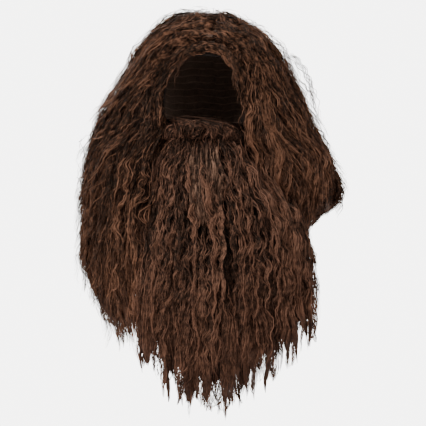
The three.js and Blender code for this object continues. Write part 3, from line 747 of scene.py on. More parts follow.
def comb(
    rng, surface, bundles, count, length, width, lift, region,
    shade_from=0.3, fan=0.0, hem=0.0, stray=0.0, step=STEP, sweep=0.0, sunk=0.005,
):
    """A batch of strands that start at random places where region allows.

    lift is their range of height over the surface, and they come up from sunk below it. fan and sweep
    spread them outwards, all along or towards the end, and stray scatters them. With hem they are the
    last part of the hair, whose bundles end up to hem past the tip."""
    share, down = surface.pick(rng, region, count)
    bundle, centre = bundles.of(share, surface.span)
    if hem:
        past = rng.uniform(-0.02, hem, bundles.count)[bundle]
        tip = surface.tip(centre) + (past - HEM_STAGGER * rng.uniform(0, 1, count) ** 1.6)
        reach = length * rng.uniform(0.55, 1.15, count)
        down = tip - reach
    else:
        tip = surface.tip(share) - rng.uniform(-0.004, 0.042, count)
        reach = np.minimum(length * rng.uniform(0.75, 1.25, count), tip - down)
    keep = reach > SHORTEST
    down, share, tip, reach, bundle, centre = (
        values[keep] for values in (down, share, tip, reach, bundle, centre)
    )
    count = len(down)
    part = np.linspace(0, 1, int(length / step))
    travel = down[:, None] + reach[:, None] * part
    if hem:
        gather = rng.uniform(0.7, 0.97, count)[:, None] * part ** 1.5
    else:
        gather = rng.uniform(0, 0.5, count)[:, None] * np.clip(0.25 + part, 0, 1)
    route = share[:, None] + (centre - share)[:, None] * gather
    route = route + (fan + sweep * part ** 1.5) * (route - sum(surface.span) / 2)
    route = route + stray * rng.normal(0, 1, count)[:, None] * part
    route = surface.keep_side(route, share)
    ends_free = (tip - down - reach) < 0.002
    base = rng.uniform(*lift, count) + bundles.depth[bundle]
    lifts = lift_profile(len(part), base, sunk, np.where(ends_free, 0.0, 0.005))
    points, normals = surface.place(route, travel, lifts)
    left_over = tip[:, None] + 0.02 - travel
    points, painted_crimp_light = waved(points, normals, travel, bundle, bundles, rng, left_over)
    contrast = HEM_CONTRAST if hem else 1.0
    shade = shade_from + contrast * bundles.shade[bundle] + rng.normal(0, 0.24, count)
    # Painted shade: strands that lie deeper under the others are darker, and those on top lighter.
    shade = shade + (base - 0.002) * 48
    thick = width * rng.uniform(0.6, 1.4, count)
    turned = 0.9 if width < 0.002 else 0.35
    rolling = 0.5 * turned * np.sin(travel * 160 + bundle[:, None])
    twist = rng.uniform(-turned, turned, count)[:, None] + rolling
    twist = twist + 0.3 * turned * rng.normal(0, 1, travel.shape)
    return points, normals, thick, twist, shade[:, None] + painted_crimp_light, travel / tip[:, None]


def combed(
    name, seed, surface, bundles, counts, lengths, lifts, region, nodes, material, **more
):
    """A piece of four batches: broad locks low down, then strands of three lengths above them."""
    rng = np.random.default_rng(seed)
    bundles = Bundles(rng, **bundles)
    rows = zip(counts, lengths, (LOCK, FINE, FINE, FINE), lifts)
    batches = [comb(rng, surface, bundles, *row, region, **more) for row in rows]
    return strand_piece(name, batches, nodes, material)


# %% Separate locks
def comb_locks(rng, surface, count, strands, length, region, flare, lean=0.0, past=0.008):
    """Locks whose strands run together into a point that may stand off the surface."""
    spread, shade_from = 0.006, 0.34
    bundles = Bundles(rng, count, wave=0.0018, crimp=0.0007)
    middle, down = surface.pick(rng, region, count)
    near = surface.place(middle, down, np.zeros(count))[0]
    beside = surface.place(middle + 0.01 * np.where(middle > 0.5, -1, 1), down, np.zeros(count))[0]
    metres = np.maximum(np.linalg.norm(beside - near, axis=-1) / 0.01, 0.05)
    bundle = np.repeat(np.arange(count), strands)
    total = len(bundle)
    part = np.linspace(0, 1, int(length / STEP))
    start = down[bundle] + rng.uniform(-0.018, 0.018, total)
    room = surface.tip(middle)[bundle] + past - start
    reach = length * rng.uniform(0.65, 1.15, count)[bundle] * rng.uniform(0.75, 1.05, total)
    reach = np.minimum(reach, room)
    keep = (reach > SHORTEST) & (start > 0)
    bundle, start, reach = bundle[keep], start[keep], reach[keep]
    total = len(bundle)
    travel = start[:, None] + reach[:, None] * part
    offset = (rng.normal(0, spread, total) / metres[bundle])[:, None] * (1 - 0.9 * part ** 1.2)
    drift = (rng.normal(0, 0.012, count) / metres)[bundle][:, None] * part ** 1.5
    stand = rng.uniform(0.0, 0.005, count)[bundle][:, None] + rng.normal(0, 0.0012, total)[:, None]
    leave = (flare * rng.uniform(0, 1, count) ** 1.5)[bundle][:, None] * part ** 1.7
    lifts = stand + leave - 0.006 * np.clip(1 - part / 0.15, 0, 1) ** 2
    route = surface.keep_side(middle[bundle][:, None] + offset + drift, middle[bundle])
    points, normals = surface.place(route, travel, lifts)
    points[..., 0] += (lean * rng.uniform(0.2, 1, count))[bundle][:, None] * part ** 1.4
    tip = surface.tip(middle)[bundle][:, None]
    points, painted_crimp_light = waved(points, normals, travel, bundle, bundles, rng, tip + 0.02 - travel)
    shade = shade_from + 1.3 * bundles.shade[bundle] + rng.normal(0, 0.24, total)
    thick = FINE * rng.uniform(0.6, 1.4, total)
    twist = rng.uniform(-0.9, 0.9, total)[:, None] + 0 * travel
    return points, normals, thick, twist, shade[:, None] + painted_crimp_light, travel / tip


print("combs ready")

# %% [markdown]
# ## The wig's strands
# The front is combed in two pieces and the rear in two, because one mesh of all the hair would be clumsy to
# work with. A strand near the face may spill a few degrees over the edge, onto the beard. On the real set the
# two mingle there, and no seam shows.
# %% Comb the wig
SIDE_EDGE, BACK = 1.95, 4


def between(low, high):
    """The part of the wig between two azimuths."""
    return lambda around, down: (around >= low) & (around < high)


for name, seed, region, counts, nodes in (
    ("left_front_strands", 11, between(-SIDE_EDGE, 0), (210, 500, 380, 580), ["hair_left"]),
    ("right_front_strands", 12, between(0, SIDE_EDGE), (180, 470, 380, 580), ["hair_right"]),
    ("left_rear_strands", 13, between(-BACK, -SIDE_EDGE), (130, 220, 150, 190), ["hair_left", "hair_back"]),
    ("right_rear_strands", 14, between(SIDE_EDGE, BACK), (120, 210, 150, 190), ["hair_right", "hair_back"]),
):
    combed(
        name, seed, spilling_wig, {"count": 210}, counts, (0.2, 0.24, 0.14, 0.08),
        ((-0.004, 0.001), (-0.002, 0.005), (-0.001, 0.006), (0.0, 0.006)), region, nodes, wig_fibre,
    )


# %% The wig's loose locks and hem
def wig_locks():
    rng = np.random.default_rng(16)
    kinds = (  # locks, strands in each, length, region, flare, lean and how far past the tip
        (70, 11, 0.12, lambda a, d: (np.abs(a) < 1.2) * (d > 0.05), 0.006, 0.0, 0.01),
        (70, 11, 0.1, lambda a, d: (a < -0.9) * (a > -2.2) * (d > 0.1), 0.02, -0.008, 0.01),
        (70, 11, 0.1, lambda a, d: (a > 0.9) * (a < 2.2) * (d > 0.12), 0.02, 0.006, 0.02),
        (50, 10, 0.1, lambda a, d: (np.abs(a) > 2.0) * (d > 0.06), 0.012, 0.0, 0.015),
        (26, 10, 0.06, lambda a, d: d < 0.05, 0.009, 0.0, 0.01),
        (16, 13, 0.09, lambda a, d: (a < -1.1) * (a > -1.8) * (d > 0.24), 0.012, -0.03, 0.02),
    )
    batches = [comb_locks(rng, wig_surface, *kind) for kind in kinds]
    crown = Bundles(rng, 60, wave=0.001, depth=0.001)
    at_crown = (110, 0.09, LOCK, (0.0, 0.003), lambda a, d: d < 0.06, 0.25)
    batches.append(comb(rng, wig_surface, crown, *at_crown, sunk=0.0))
    return strand_piece("wig_lock_strands", batches, list(WIG_NODES), wig_fibre)


def wig_hem():
    rng = np.random.default_rng(15)
    bundles = Bundles(rng, 96, wave=0.0012, depth=0.003)
    kinds = ((1000, 0.12, FINE, (-0.002, 0.005)), (170, 0.12, LOCK, (-0.005, -0.001)))
    batches = [
        comb(rng, wig_surface, bundles, *kind, lambda a, d: d > 0.2, hem=0.024, step=LONG_STEP)
        for kind in kinds
    ]
    return strand_piece("wig_hem_strands", batches, list(WIG_NODES), wig_fibre)


wig_locks()
wig_hem()

# %% [markdown]
# ## A relief of the beard
# The beard is nearly flat from front to back, so its map is a relief: a ray for every 4 mm seen from the
# front. The beard's own width at each height gives every strand a share across it, just as the opening did
# on the wig, and the strands fan out from the lip to the hem. The same class serves the chin hair and the
# beard's back.
# %% Relief maps
CELL = 0.004
RELIEF_START = 0.4


class Relief:
    """How far forward (facing -1) or back (1) some nodes stand, with their width and tips.

    Below the height hold the width stays as it is there."""

    span = (0.0, 1.0)

    def __init__(self, nodes, facing, x_range, z_range, hold=None, slack=0.06, depth=0.8):
        self.facing = facing
        self.slack = slack
        self.x = np.arange(*x_range, CELL)
        self.z = np.arange(*z_range, -CELL)
        tree = BVHTree.FromPolygons(*gathered(nodes))
        hits = np.full((len(self.x), len(self.z)), np.nan)
        for i, x in enumerate(self.x):
            for j, z in enumerate(self.z):
                start, inward = Vector((x, facing * RELIEF_START, z)), Vector((0, -facing, 0))
                hit = tree.ray_cast(start, inward, depth)
                if hit[0] is not None:
                    hits[i, j] = hit[0].y
        self.seen = ~np.isnan(hits)
        self.y = smoothed(fill_gaps(hits), 1)
        self.left, self.right = (self.edge(end, hold) for end in (0, -1))
        self.top = self.z[0]
        self.shares = np.linspace(0, 1, 121)
        self.tips = np.array([self.top - self.find_tip(share) for share in self.shares])

    def edge(self, end, hold):
        rows = [np.flatnonzero(self.seen[:, j]) for j in range(len(self.z))]
        known = np.array([j for j, row in enumerate(rows) if len(row)])
        edge = np.interp(np.arange(len(self.z)), known, [self.x[rows[j][end]] for j in known])
        if hold:
            kept = int((self.z[0] - hold) / CELL)
            edge[kept:] = edge[kept]
        return smooth_line(edge, 5)

    def find_tip(self, share):
        x = self.left + (self.right - self.left) * share
        i = np.clip(np.round((x - self.x[0]) / CELL).astype(int), 0, len(self.x) - 1)
        met = np.flatnonzero(self.seen[i, np.arange(len(self.z))])
        return self.z[met[-1]] if len(met) else self.z[0]

    def tip(self, share):
        return np.interp(share, self.shares, self.tips)

    def width_at(self, down):
        every = np.arange(len(self.z))
        return np.interp(down / CELL, every, self.left), np.interp(down / CELL, every, self.right)

    def keep_side(self, route, share):
        return np.clip(route, -self.slack, 1 + self.slack)

    def pick(self, rng, region, count):
        x, z = np.meshgrid(self.x, self.z, indexing="ij")
        i, j = pick_cells(rng, np.where(self.seen, 1.0, 0.0) * region(x, z), count)
        down = np.clip(j, 0, None) * CELL
        left, right = self.width_at(down)
        return np.clip((self.x[0] + i * CELL - left) / (right - left), 0, 1), down

    def place(self, share, down, lift):
        left, right = self.width_at(down)
        x = left + (right - left) * share
        u, v = (x - self.x[0]) / CELL, down / CELL
        y = read_map(self.y, u, v)
        slope_x = (read_map(self.y, u + 1, v) - read_map(self.y, u - 1, v)) / (2 * CELL)
        slope_z = (read_map(self.y, u, v - 1) - read_map(self.y, u, v + 1)) / (2 * CELL)
        out = [-self.facing * slope_x, np.full_like(y, self.facing), -self.facing * slope_z]
        out = unit(np.stack(out, -1))
        return np.stack([x, y, self.top - down], -1) + out * lift[..., None], out


BEARD_X, BEARD_TOP, BEARD_END = (-0.136, 0.17), -0.152, -0.612
beard_front, beard_back = (
    Relief(nodes, facing, BEARD_X, (top, BEARD_END), hold=-0.455, slack=0.03)
    for nodes, facing, top in ((("beard_hair", "chin_tuft"), -1, BEARD_TOP), (("beard_hair",), 1, -0.24))
)
print("beard map", beard_front.y.shape, "longest", beard_front.tips.max().round(3), "m")


def above_beard_tips(points):
    down = beard_front.top - points[:, 2]
    left, right = beard_front.width_at(down)
    tip = beard_front.tip((points[:, 0] - left) / (right - left))
    return 0.55 * np.maximum(0, down - tip + 0.045)


under_layer("under_beard", ["beard_hair"], inset=0.003, above_tips=above_beard_tips)

# %% [markdown]
# ## The hair that falls in front of the sides
# On both sides the top layer doesn't cling to the form as the hair below it does: it hangs straight down from
# where the form is widest, and its locks end one above the other in ragged points. The relief of each side,
# with its width held from that height on, combs just such a layer over the rest.
# %% Comb the falling layer
def falling_strands(side, seed, relief, lengths, counts, below, sweep):
    rng = np.random.default_rng(seed)
    bundles = Bundles(rng, 26, wave=0.0027, depth=0.003, crimp=0.0009)

    def region(x, z):
        return z < below

    rows = [(n, length, FINE, (0.0, 0.008), region, 0.24) for n, length in zip(counts, lengths)]
    batches = [comb(rng, relief, bundles, *row, sweep=sweep) for row in rows]
    locks = (50, 0.12, LOCK, (-0.003, 0.0), region, 0.2)
    batches.append(comb(rng, relief, bundles, *locks, sweep=sweep / 2))
    bundles = Bundles(rng, 17, wave=0.0018, depth=0.003)
    ends = (420, lengths[2], FINE, (0.0, 0.007), region)
    batches.append(comb(rng, relief, bundles, *ends, sweep=sweep, hem=0.03, step=LONG_STEP))
    return strand_piece(side + "_falling_strands", batches, ["hair_" + side], wig_fibre)


for side, seed, x_range, z_end, hold, lengths, counts, below, sweep in (
    ("left", 17, (-0.21, -0.05), -0.5, -0.31, (0.11, 0.07, 0.13), (300, 260), -0.2, 0.3),
    ("right", 18, (0.05, 0.206), -0.35, -0.215, (0.1, 0.06, 0.12), (300, 300), -0.12, 0.12),
):
    relief = Relief(("hair_" + side,), -1, x_range, (-0.1, z_end), hold, slack=0.25, depth=0.42)
    falling_strands(side, seed, relief, lengths, counts, below, sweep)

# %% [markdown]
# ## The beard's strands
# The beard is fuller and wilder than the wig: its bundles are narrower and swing more. The upper strands
# start under the moustache and on the cheeks, the lower ones carry the hem down to separate points. Some go
# a little past the solid's edges to both sides, which joins the beard to the wig's side hair without a seam.
# %% Comb the beard
MOUTH_X = -0.0135
BEARD_BUNDLES = {"count": 66, "wave": 0.0027, "depth": 0.003, "crimp": 0.0009}


def off_the_mouth(x, z):
    """Leaves out the mouth, and the middle below it, which is the chin hair's."""
    return (z > -0.36) * ~((np.abs(x - MOUTH_X) < 0.02) & (z > -0.22))


for name, seed, relief, region, counts, shade_from in (
    ("beard_upper_strands", 21, beard_front, off_the_mouth, (150, 440, 380, 560), 0.27),
    ("beard_lower_strands", 22, beard_front, lambda x, z: z <= -0.32, (150, 440, 420, 560), 0.15),
    ("beard_back_strands", 23, beard_back, lambda x, z: z < -0.26, (60, 160, 180, 150), 0.27),
):
    combed(
        name, seed, relief, BEARD_BUNDLES, counts, (0.14, 0.2, 0.12, 0.07),
        ((-0.004, 0.001), (-0.001, 0.006), (-0.001, 0.007), (0.0, 0.007)), region, ["beard_hair"],
        beard_fibre, shade_from=shade_from, fan=0.025,
    )


# %% The beard's loose locks and hem
def beard_locks():
    rng = np.random.default_rng(25)
    kinds = (  # relief, locks, strands in each, length, region and flare
        (beard_front, 90, 14, 0.085, lambda x, z: z < -0.25, 0.006),
        (beard_front, 30, 14, 0.06, lambda x, z: (np.abs(x - MOUTH_X) > 0.03) * (z > -0.235), 0.004),
        (beard_back, 24, 10, 0.085, lambda x, z: z < -0.3, 0.005),
    )
    batches = [comb_locks(rng, *kind) for kind in kinds]
    return strand_piece("beard_lock_strands", batches, ["beard_hair"], beard_fibre)


def beard_hem():
    rng = np.random.default_rng(24)
    batches = []
    for relief, locks, count, length in (
        (beard_front, 17, 800, 0.17), (beard_front, 25, 620, 0.12), (beard_back, 15, 300, 0.12)
    ):
        bundles = Bundles(rng, locks, wave=0.001, crimp=0.0005, depth=0.003)
        for many, width, lift in ((count, FINE, (-0.002, 0.006)), (count // 5, LOCK, (-0.005, -0.001))):
            row = (many, length, width, lift, lambda x, z: z < -0.3, 0.22)
            batches.append(comb(rng, relief, bundles, *row, hem=0.03, step=LONG_STEP))
    return strand_piece("beard_hem_strands", batches, ["beard_hair"], beard_fibre)


beard_locks()
beard_hem()

# %% [markdown]
# ## The hair under the lip
# Here the beard's fabric is sewn with straighter, lighter hair that lies flat for about 12 cm and then melts
# into the crimped hair. It gets the same comb with a gentler wave and paler browns.
# %% Chin hair
chin_front = Relief(("chin_tuft",), -1, (-0.056, 0.03), (-0.19, -0.33))


def chin_strands():
    rng = np.random.default_rng(31)
    bundles = Bundles(rng, 18, pitch=0.03, crimp=0.0004, wave=0.0009, depth=0.0012, jitter=0.0002)
    batches = [
        comb(rng, chin_front, bundles, *row, (0.001, 0.006), lambda x, z: 1.0, shade_from=0.42)
        for row in ((40, 0.08, 0.003), (420, 0.09, FINE), (330, 0.05, FINE))
    ]
    return strand_piece("chin_strands", batches, ["chin_tuft"], chin_fibre)


under_layer("under_chin_hair", ["chin_tuft"], inset=0.001, voxel=0.003)
chin_strands()

# %% [markdown]
# ## Locks that follow an arc
# The moustache and the rolled hairline both curve round a middle point: the mouth, and the middle of the
# face. For them the map is polar. Rays are shot along arcs round that point, and the strands start at the top
# of the arc and run down it to each side.
# %% Comb along arcs
ARC_CELL = 0.002
ARC_RAY = 0.36
FULL_SIDE = 1.35  # how far across an arc a strand may lie, where 1 is the edge
SCATTER = 1.1


class ArcMap:
    """The front of some nodes along arcs round a point, by angle from +X and distance."""

    def __init__(self, nodes, centre, angles, distances):
        self.centre = np.array(centre)
        self.angles = np.radians(np.linspace(*angles, 70))
        self.distances = np.arange(*distances, ARC_CELL)
        tree = BVHTree.FromPolygons(*gathered(nodes))
        hits = np.full((len(self.angles), len(self.distances)), np.nan)
        for i, angle in enumerate(self.angles):
            for j, distance in enumerate(self.distances):
                x, z = self.centre + distance * np.array([math.cos(angle), math.sin(angle)])
                hit = tree.ray_cast(Vector((x, -RELIEF_START, z)), Vector((0, 1, 0)), ARC_RAY)
                if hit[0] is not None:
                    hits[i, j] = hit[0].y
        found = ~np.isnan(hits)
        self.valid = np.flatnonzero(found.any(1))
        self.y = fill_gaps(hits)
        self.inner, self.outer = (
            np.interp(
                np.arange(len(found)), self.valid,
                [self.distances[np.flatnonzero(found[i])[end]] for i in self.valid],
            )
            for end in (0, -1)
        )

    def point(self, turn, across, lift):
        """turn runs from 0 at the first angle to 1 at the last, across from -1 inside to 1 outside."""
        u = self.valid[0] + turn * (self.valid[-1] - self.valid[0])
        row = np.arange(len(self.angles))
        angle, inner, outer = (np.interp(u, row, line) for line in (self.angles, self.inner, self.outer))
        middle, half = (inner + outer) / 2, (outer - inner) / 2
        side = np.clip(across, -FULL_SIDE, FULL_SIDE)
        distance = middle + half * np.sin(side * math.pi / 2 * 0.8)
        y = read_map(self.y, u, (distance - self.distances[0]) / ARC_CELL)
        radial = np.stack([np.cos(angle), 0 * angle, np.sin(angle)], -1)
        forward = np.array([0, -1, 0])
        out = unit(radial * np.sin(side)[..., None] + forward * np.cos(side)[..., None])
        x, z = (self.centre[k] + distance * turned(angle) for k, turned in enumerate((np.cos, np.sin)))
        return np.stack([x, y, z], -1) + out * lift[..., None], out


def comb_arc(rng, arc, bundles, count, length, width, lift, drift, shade_from, flare):
    steps = int(length / STEP) + 1
    part = np.linspace(0, 1, steps)
    whole = abs(arc.angles[-1] - arc.angles[0]) * arc.outer.mean()
    turn = rng.uniform(-0.02, 1.0 - 0.4 * length / whole, count)
    reach = np.minimum(length / whole, 1.03 - turn)
    across = rng.uniform(-SCATTER, SCATTER, count)
    bundle, _ = bundles.of(across, (-SCATTER, SCATTER))
    turns = turn[:, None] + reach[:, None] * part
    sides = across[:, None] * (1 - 0.35 * np.clip(turns - 0.7, 0, 1))
    sides = sides + drift * rng.uniform(0.2, 1.3, count)[:, None] * part
    base = rng.uniform(*lift, count) + bundles.depth[bundle]
    lifts = lift_profile(steps, base, 0.002, np.full(count, 0.001))
    lifts = lifts + flare * rng.uniform(0, 1, count)[:, None] * part ** 2
    points, normals = arc.point(np.clip(turns, 0, 1), sides, lifts)
    points, painted_crimp_light = waved(points, normals, turns * whole, bundle, bundles, rng)
    shade = (shade_from + bundles.shade[bundle] + rng.normal(0, 0.22, count))[:, None] + painted_crimp_light
    thick = width * rng.uniform(0.6, 1.4, count)
    twist = np.repeat(rng.uniform(-0.8, 0.8, count)[:, None], steps, 1)
    return points, normals, thick, twist, shade, turns * 0.6


def arc_strands(
    name, seed, arcs, counts, nodes, material, drift, shade_from,
    lift=(0, 0.003), locks=14, wave=0.0012, flare=0.0,
):
    rng = np.random.default_rng(seed)
    bundles = Bundles(rng, locks, crimp=0.0007, wave=wave, depth=0.0009)
    batches = [
        comb_arc(rng, arc, bundles, *row, lift, drift, shade_from, flare)
        for arc in arcs
        for row in counts
    ]
    return strand_piece(name, batches, nodes, material)


MOUTH_CENTRE, FACE_CENTRE = (-0.0145, -0.215), (-0.016, -0.112)
lip_counts = [(30, 0.04, 0.0028), (420, 0.045, FINE), (300, 0.03, FINE)]
for name, seed, last_angle in (("moustache_left", 41, 200), ("moustache_right", 42, -20)):
    under_layer("under_" + name, [name], inset=0.0008, voxel=0.003)
    arc = ArcMap((name,), MOUTH_CENTRE, (90, last_angle), (0.01, 0.08))
    arc_strands(
        name + "_strands", seed, [arc], lip_counts, [name], lip_fibre, -1.9, 0.24,
        lift=(0, 0.006), locks=18, wave=0.0026, flare=0.006,
    )

# %% The short hair over the lip
lip_front = Relief(
    ("beard_backing", "moustache_left", "moustache_right", "beard_hair", "chin_tuft"),
    -1, (-0.084, 0.062), (-0.15, -0.27),
)


def lip_strands():
    rng = np.random.default_rng(45)
    bundles = Bundles(rng, 34, pitch=0.009, crimp=0.0009, wave=0.002, depth=0.001)
    kinds = (  # strands, length, region and sweep
        (420, 0.034, lambda x, z: z > -0.187, 0.35),
        (260, 0.02, lambda x, z: z > -0.187, 0.35),
        (300, 0.026, lambda x, z: z > -0.158, 0.25),
        (260, 0.065, lambda x, z: (np.abs(x - MOUTH_X) > 0.034) * (z > -0.195), 0.3),
    )
    batches = [
        comb(
            rng, lip_front, bundles, count, length, FINE, (0.002, 0.008), region, 0.19,
            sweep=sweep, sunk=0.001,
        )
        for count, length, region, sweep in kinds
    ]
    return strand_piece("lip_strands", batches, ["moustache_left", "moustache_right"], lip_fibre)


lip_strands()

under_layer("under_fringe", ["fringe"], inset=0.0008, voxel=0.003)
fringe_arcs = [ArcMap(("fringe",), FACE_CENTRE, angles, (0.04, 0.095)) for angles in ((88, 190), (92, -10))]
fringe_counts = [(30, 0.06, 0.003), (290, 0.075, FINE), (220, 0.045, FINE)]
arc_strands("fringe_strands", 43, fringe_arcs, fringe_counts, ["fringe"], wig_fibre, 0.25, 0.34)

# %% [markdown]
# ## The hair over the forehead
# Between the part on top and the rolled hairline the hair isn't combed down but sideways, in long arcs round
# the face, more to the left than to the right. The same arc map reads the wig's own front there. The solid
# lies a little behind the roll, so the map is brought forward there and the hair swells over it.
# %% Comb the forehead hair
def meeting_the_roll(angles, over=0.042):
    arc = ArcMap(WIG_NODES, FACE_CENTRE, angles, (0.074, 0.127))
    roll = ArcMap(("fringe",), FACE_CENTRE, angles, (0.04, 0.095))
    front = smoothed(roll.y.min(axis=1)[:, None], 4) + 0.004
    away = np.clip((arc.distances - roll.outer[:, None] + 0.004) / over, 0, 1) ** 1.6
    arc.y = np.minimum(arc.y, front * (1 - away) + arc.y * away)
    return arc


arc_strands(
    "brow_strands", 44, [meeting_the_roll(angles) for angles in ((70, 178), (78, 4))],
    [(46, 0.1, LOCK), (290, 0.13, FINE), (230, 0.07, FINE)], ["hair_left", "hair_right"], wig_fibre,
    0.2, 0.27, lift=(-0.001, 0.005), locks=30, wave=0.002,
)

# %% [markdown]
# ## The fabric that carries the hair
# A wig cap is a stretchy net with a weft, a sewn row of hair, every centimetre or so, and each row shows inside
# as a ridge. Ribbed elastic edges the cap, a knitted fabric backs the beard, and a flat elastic strap joins its
# ends behind the head. Each is a finely divided copy of the frame's own solid, pushed in and out by its ridges.
# The threads are too fine for mesh, so a node group draws them from two numbers that each corner carries: how
# many millimetres it lies round the head, and how many down from the crown.
# %% A group that weaves threads
def woven_threads():
    tree, given, made = new_group(
        "woven_threads", {"Thread Pitch": 1.2, "Row Pitch": 11.0}, {"Threads": 0.5, "Rows": 0.5, "Height": 0.5}
    )
    place = add_node(tree, "Attribute", attribute_name="weave")["Vector"]
    axes = add_node(tree, "SeparateXYZ", {"Vector": place})

    def wave(axis, pitch):
        turns = maths(tree, "DIVIDE", TURN, pitch)
        return maths(tree, "SINE", maths(tree, "MULTIPLY", axis, turns))

    across, along = (wave(axes[axis], given["Thread Pitch"]) for axis in ("X", "Y"))
    threads = maths(tree, "MAXIMUM", across, along)
    rows = maths(tree, "SUBTRACT", wave(axes["Y"], given["Row Pitch"]), 0.7)
    rows = maths(tree, "SMOOTH_MAX", rows, 0.0, 0.05)
    feed(tree, made, {
        "Threads": maths(tree, "MULTIPLY_ADD", threads, 0.5, 0.5),
        "Rows": maths(tree, "MULTIPLY", rows, 3.2),
        "Height": maths(tree, "ADD", threads, maths(tree, "MULTIPLY", rows, 3.0)),
    })
    return tree


WOVEN_THREADS = woven_threads()
WORN_DARK, WORN_LIGHT = (0.3, (0.45, 0.42, 0.4)), (0.7, (1.2, 1.15, 1.1))


def woven_material(name, gap, thread, row, thread_pitch, row_pitch):
    def values_of(tree):
        pitches = {"Thread Pitch": thread_pitch, "Row Pitch": row_pitch}
        weave = add_node(tree, "Group", pitches, node_tree=WOVEN_THREADS)
        lint = add_node(tree, "TexNoise", {"Scale": 90, "Detail": 5})["Fac"]
        threads = mixed(tree, weave["Threads"], (*gap, 1), (*thread, 1))
        rows = mixed(tree, weave["Rows"], threads, (*row, 1))
        worn = shaded(tree, lint, WORN_DARK, WORN_LIGHT)
        return {
            "Base Color": mixed(tree, 0.6, rows, worn, "MULTIPLY"),
            "Roughness": ranged(tree, lint, (0, 1), (0.6, 0.95)),
            "Specular IOR Level": 0.25,
            "Normal": bumped(tree, weave["Height"], 0.7, 0.0004),
        }
    return new_material(name, values_of)


# %% Copies of the fabric solids, finely divided
HEAD_RADIUS_MM = 88
ROW_PITCH_MM = 11


def divided(mesh, finest):
    """Halves every edge longer than finest, again and again, and keeps the faces triangles."""
    work = bmesh.new()
    work.from_mesh(mesh)
    bmesh.ops.remove_doubles(work, verts=work.verts, dist=1e-5)
    for _ in range(6):
        long = [edge for edge in work.edges if edge.calc_length() > finest]
        if not long:
            break
        bmesh.ops.subdivide_edges(work, edges=long, cuts=1)
        bmesh.ops.triangulate(work, faces=[face for face in work.faces if len(face.verts) > 3])
    work.to_mesh(mesh)
    work.free()


def fabric_piece(name, node, finest, material, ridge):
    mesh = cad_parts[node].data.copy()
    divided(mesh, finest)
    points, normals = points_of(mesh)
    level = np.linalg.norm(points[:, :2], axis=1)
    over_dome = np.arctan2(level, points[:, 2] - DOME_CENTRE[2]) * 100
    below = DOME_END * 1000 + (DOME_CENTRE[2] - points[:, 2]) * 1000
    down = np.where(points[:, 2] > DOME_CENTRE[2], over_dome, below)
    around = np.arctan2(points[:, 0], -points[:, 1]) * HEAD_RADIUS_MM
    down = down + 1.4 * np.sin(around / 15) + 0.9 * np.sin(around / 5.7 + down / 20)
    move_points(mesh, points + normals * ridge(around, down)[:, None])
    weave = mesh.attributes.new("weave", "FLOAT_VECTOR", "POINT")
    place = np.stack([around, down, 0 * down], 1)
    weave.data.foreach_set("vector", place.astype(np.float32).ravel())
    mesh.set_sharp_from_angle(angle=math.radians(50))
    return dress(linked(name, mesh), material, [node])


def weft_ridges(around, down):
    return 0.0004 * np.maximum(0, np.sin(down * TURN / ROW_PITCH_MM) - 0.55) / 0.45


def gathers(around, down):
    return 0.00025 * np.sin(around * TURN / 6) * np.sin(down * 0.2) - 0.0001


net, ribbed, knit, strap_weave = (
    woven_material(*row)
    for row in (  # name, the colours of gaps, threads and rows, and the pitch of both in mm
        ("cap_net", (0.07, 0.047, 0.037), (0.24, 0.16, 0.12), (0.3, 0.2, 0.15), 1.6, ROW_PITCH_MM),
        ("ribbed_elastic", (0.008, 0.006, 0.005), (0.035, 0.024, 0.019), (0.06, 0.042, 0.034), 1.4, 4.4),
        ("backing_knit", (0.014, 0.008, 0.006), (0.06, 0.036, 0.026), (0.07, 0.042, 0.03), 1.9, 7),
        ("strap_weave", (0.008, 0.006, 0.005), (0.03, 0.022, 0.018), (0.05, 0.037, 0.03), 1.1, 3),
    )
)
net_cap = fabric_piece("net_cap", "wig_cap", 0.008, net, weft_ridges)
fabric_piece("elastic_edge", "cap_band", 0.005, ribbed, gathers)
knit_backing = fabric_piece("knit_backing", "beard_backing", 0.005, knit, gathers)
fabric_piece("elastic_strap", "beard_strap", 0.004, strap_weave, gathers)

# %% [markdown]
# ## Flyaways
# Synthetic hair is light and charged, so single fibres stand off the surface. They are far thinner than the
# ribbons, and only a few hundred of them turn a hard outline into a soft one.
# %% Fine loose fibres
def flyaways(seed):
    rng = np.random.default_rng(seed)
    bundles = Bundles(rng, 300, crimp=0.0012, wave=0.005, depth=0.001)
    kinds = (  # fibres, length, width, how far they leave the surface, and region
        (340, 0.06, 0.0005, 0.014, lambda a, d: d > 0.02),
        (230, 0.11, 0.0005, 0.016, lambda a, d: d > 0.03),
        (60, 0.12, 0.001, 0.024, lambda a, d: (np.abs(a + 1.45) < 0.3) * (d > 0.15) * (d < 0.3)),
        (60, 0.09, 0.0008, 0.02, lambda a, d: (np.abs(a - 1.45) < 0.4) * (d > 0.03) * (d < 0.2)),
    )
    batches = []
    for count, length, width, leave, region in kinds:
        points, normals, thick, twist, shade, tip = comb(
            rng, wig_surface, bundles, count, length, width, (0.002, 0.006), region, stray=0.03
        )
        part = np.linspace(0, 1, points.shape[1])
        away = rng.uniform(0, leave, len(points))[:, None]
        loops = rng.uniform(0, 1, len(points))[:, None] < 0.25
        bent = away * np.where(loops, np.sin(part * math.pi), part ** 1.4)
        points = points + normals * bent[..., None]
        batches.append((points, normals, thick, twist, shade + 0.12, tip))
    return strand_piece("flyaway_strands", batches, list(WIG_NODES), wig_fibre)


flyaways(51)

# %% Wisps and loose curls
CURL_PITCH, CURL_SIZE = 0.021, 0.0018


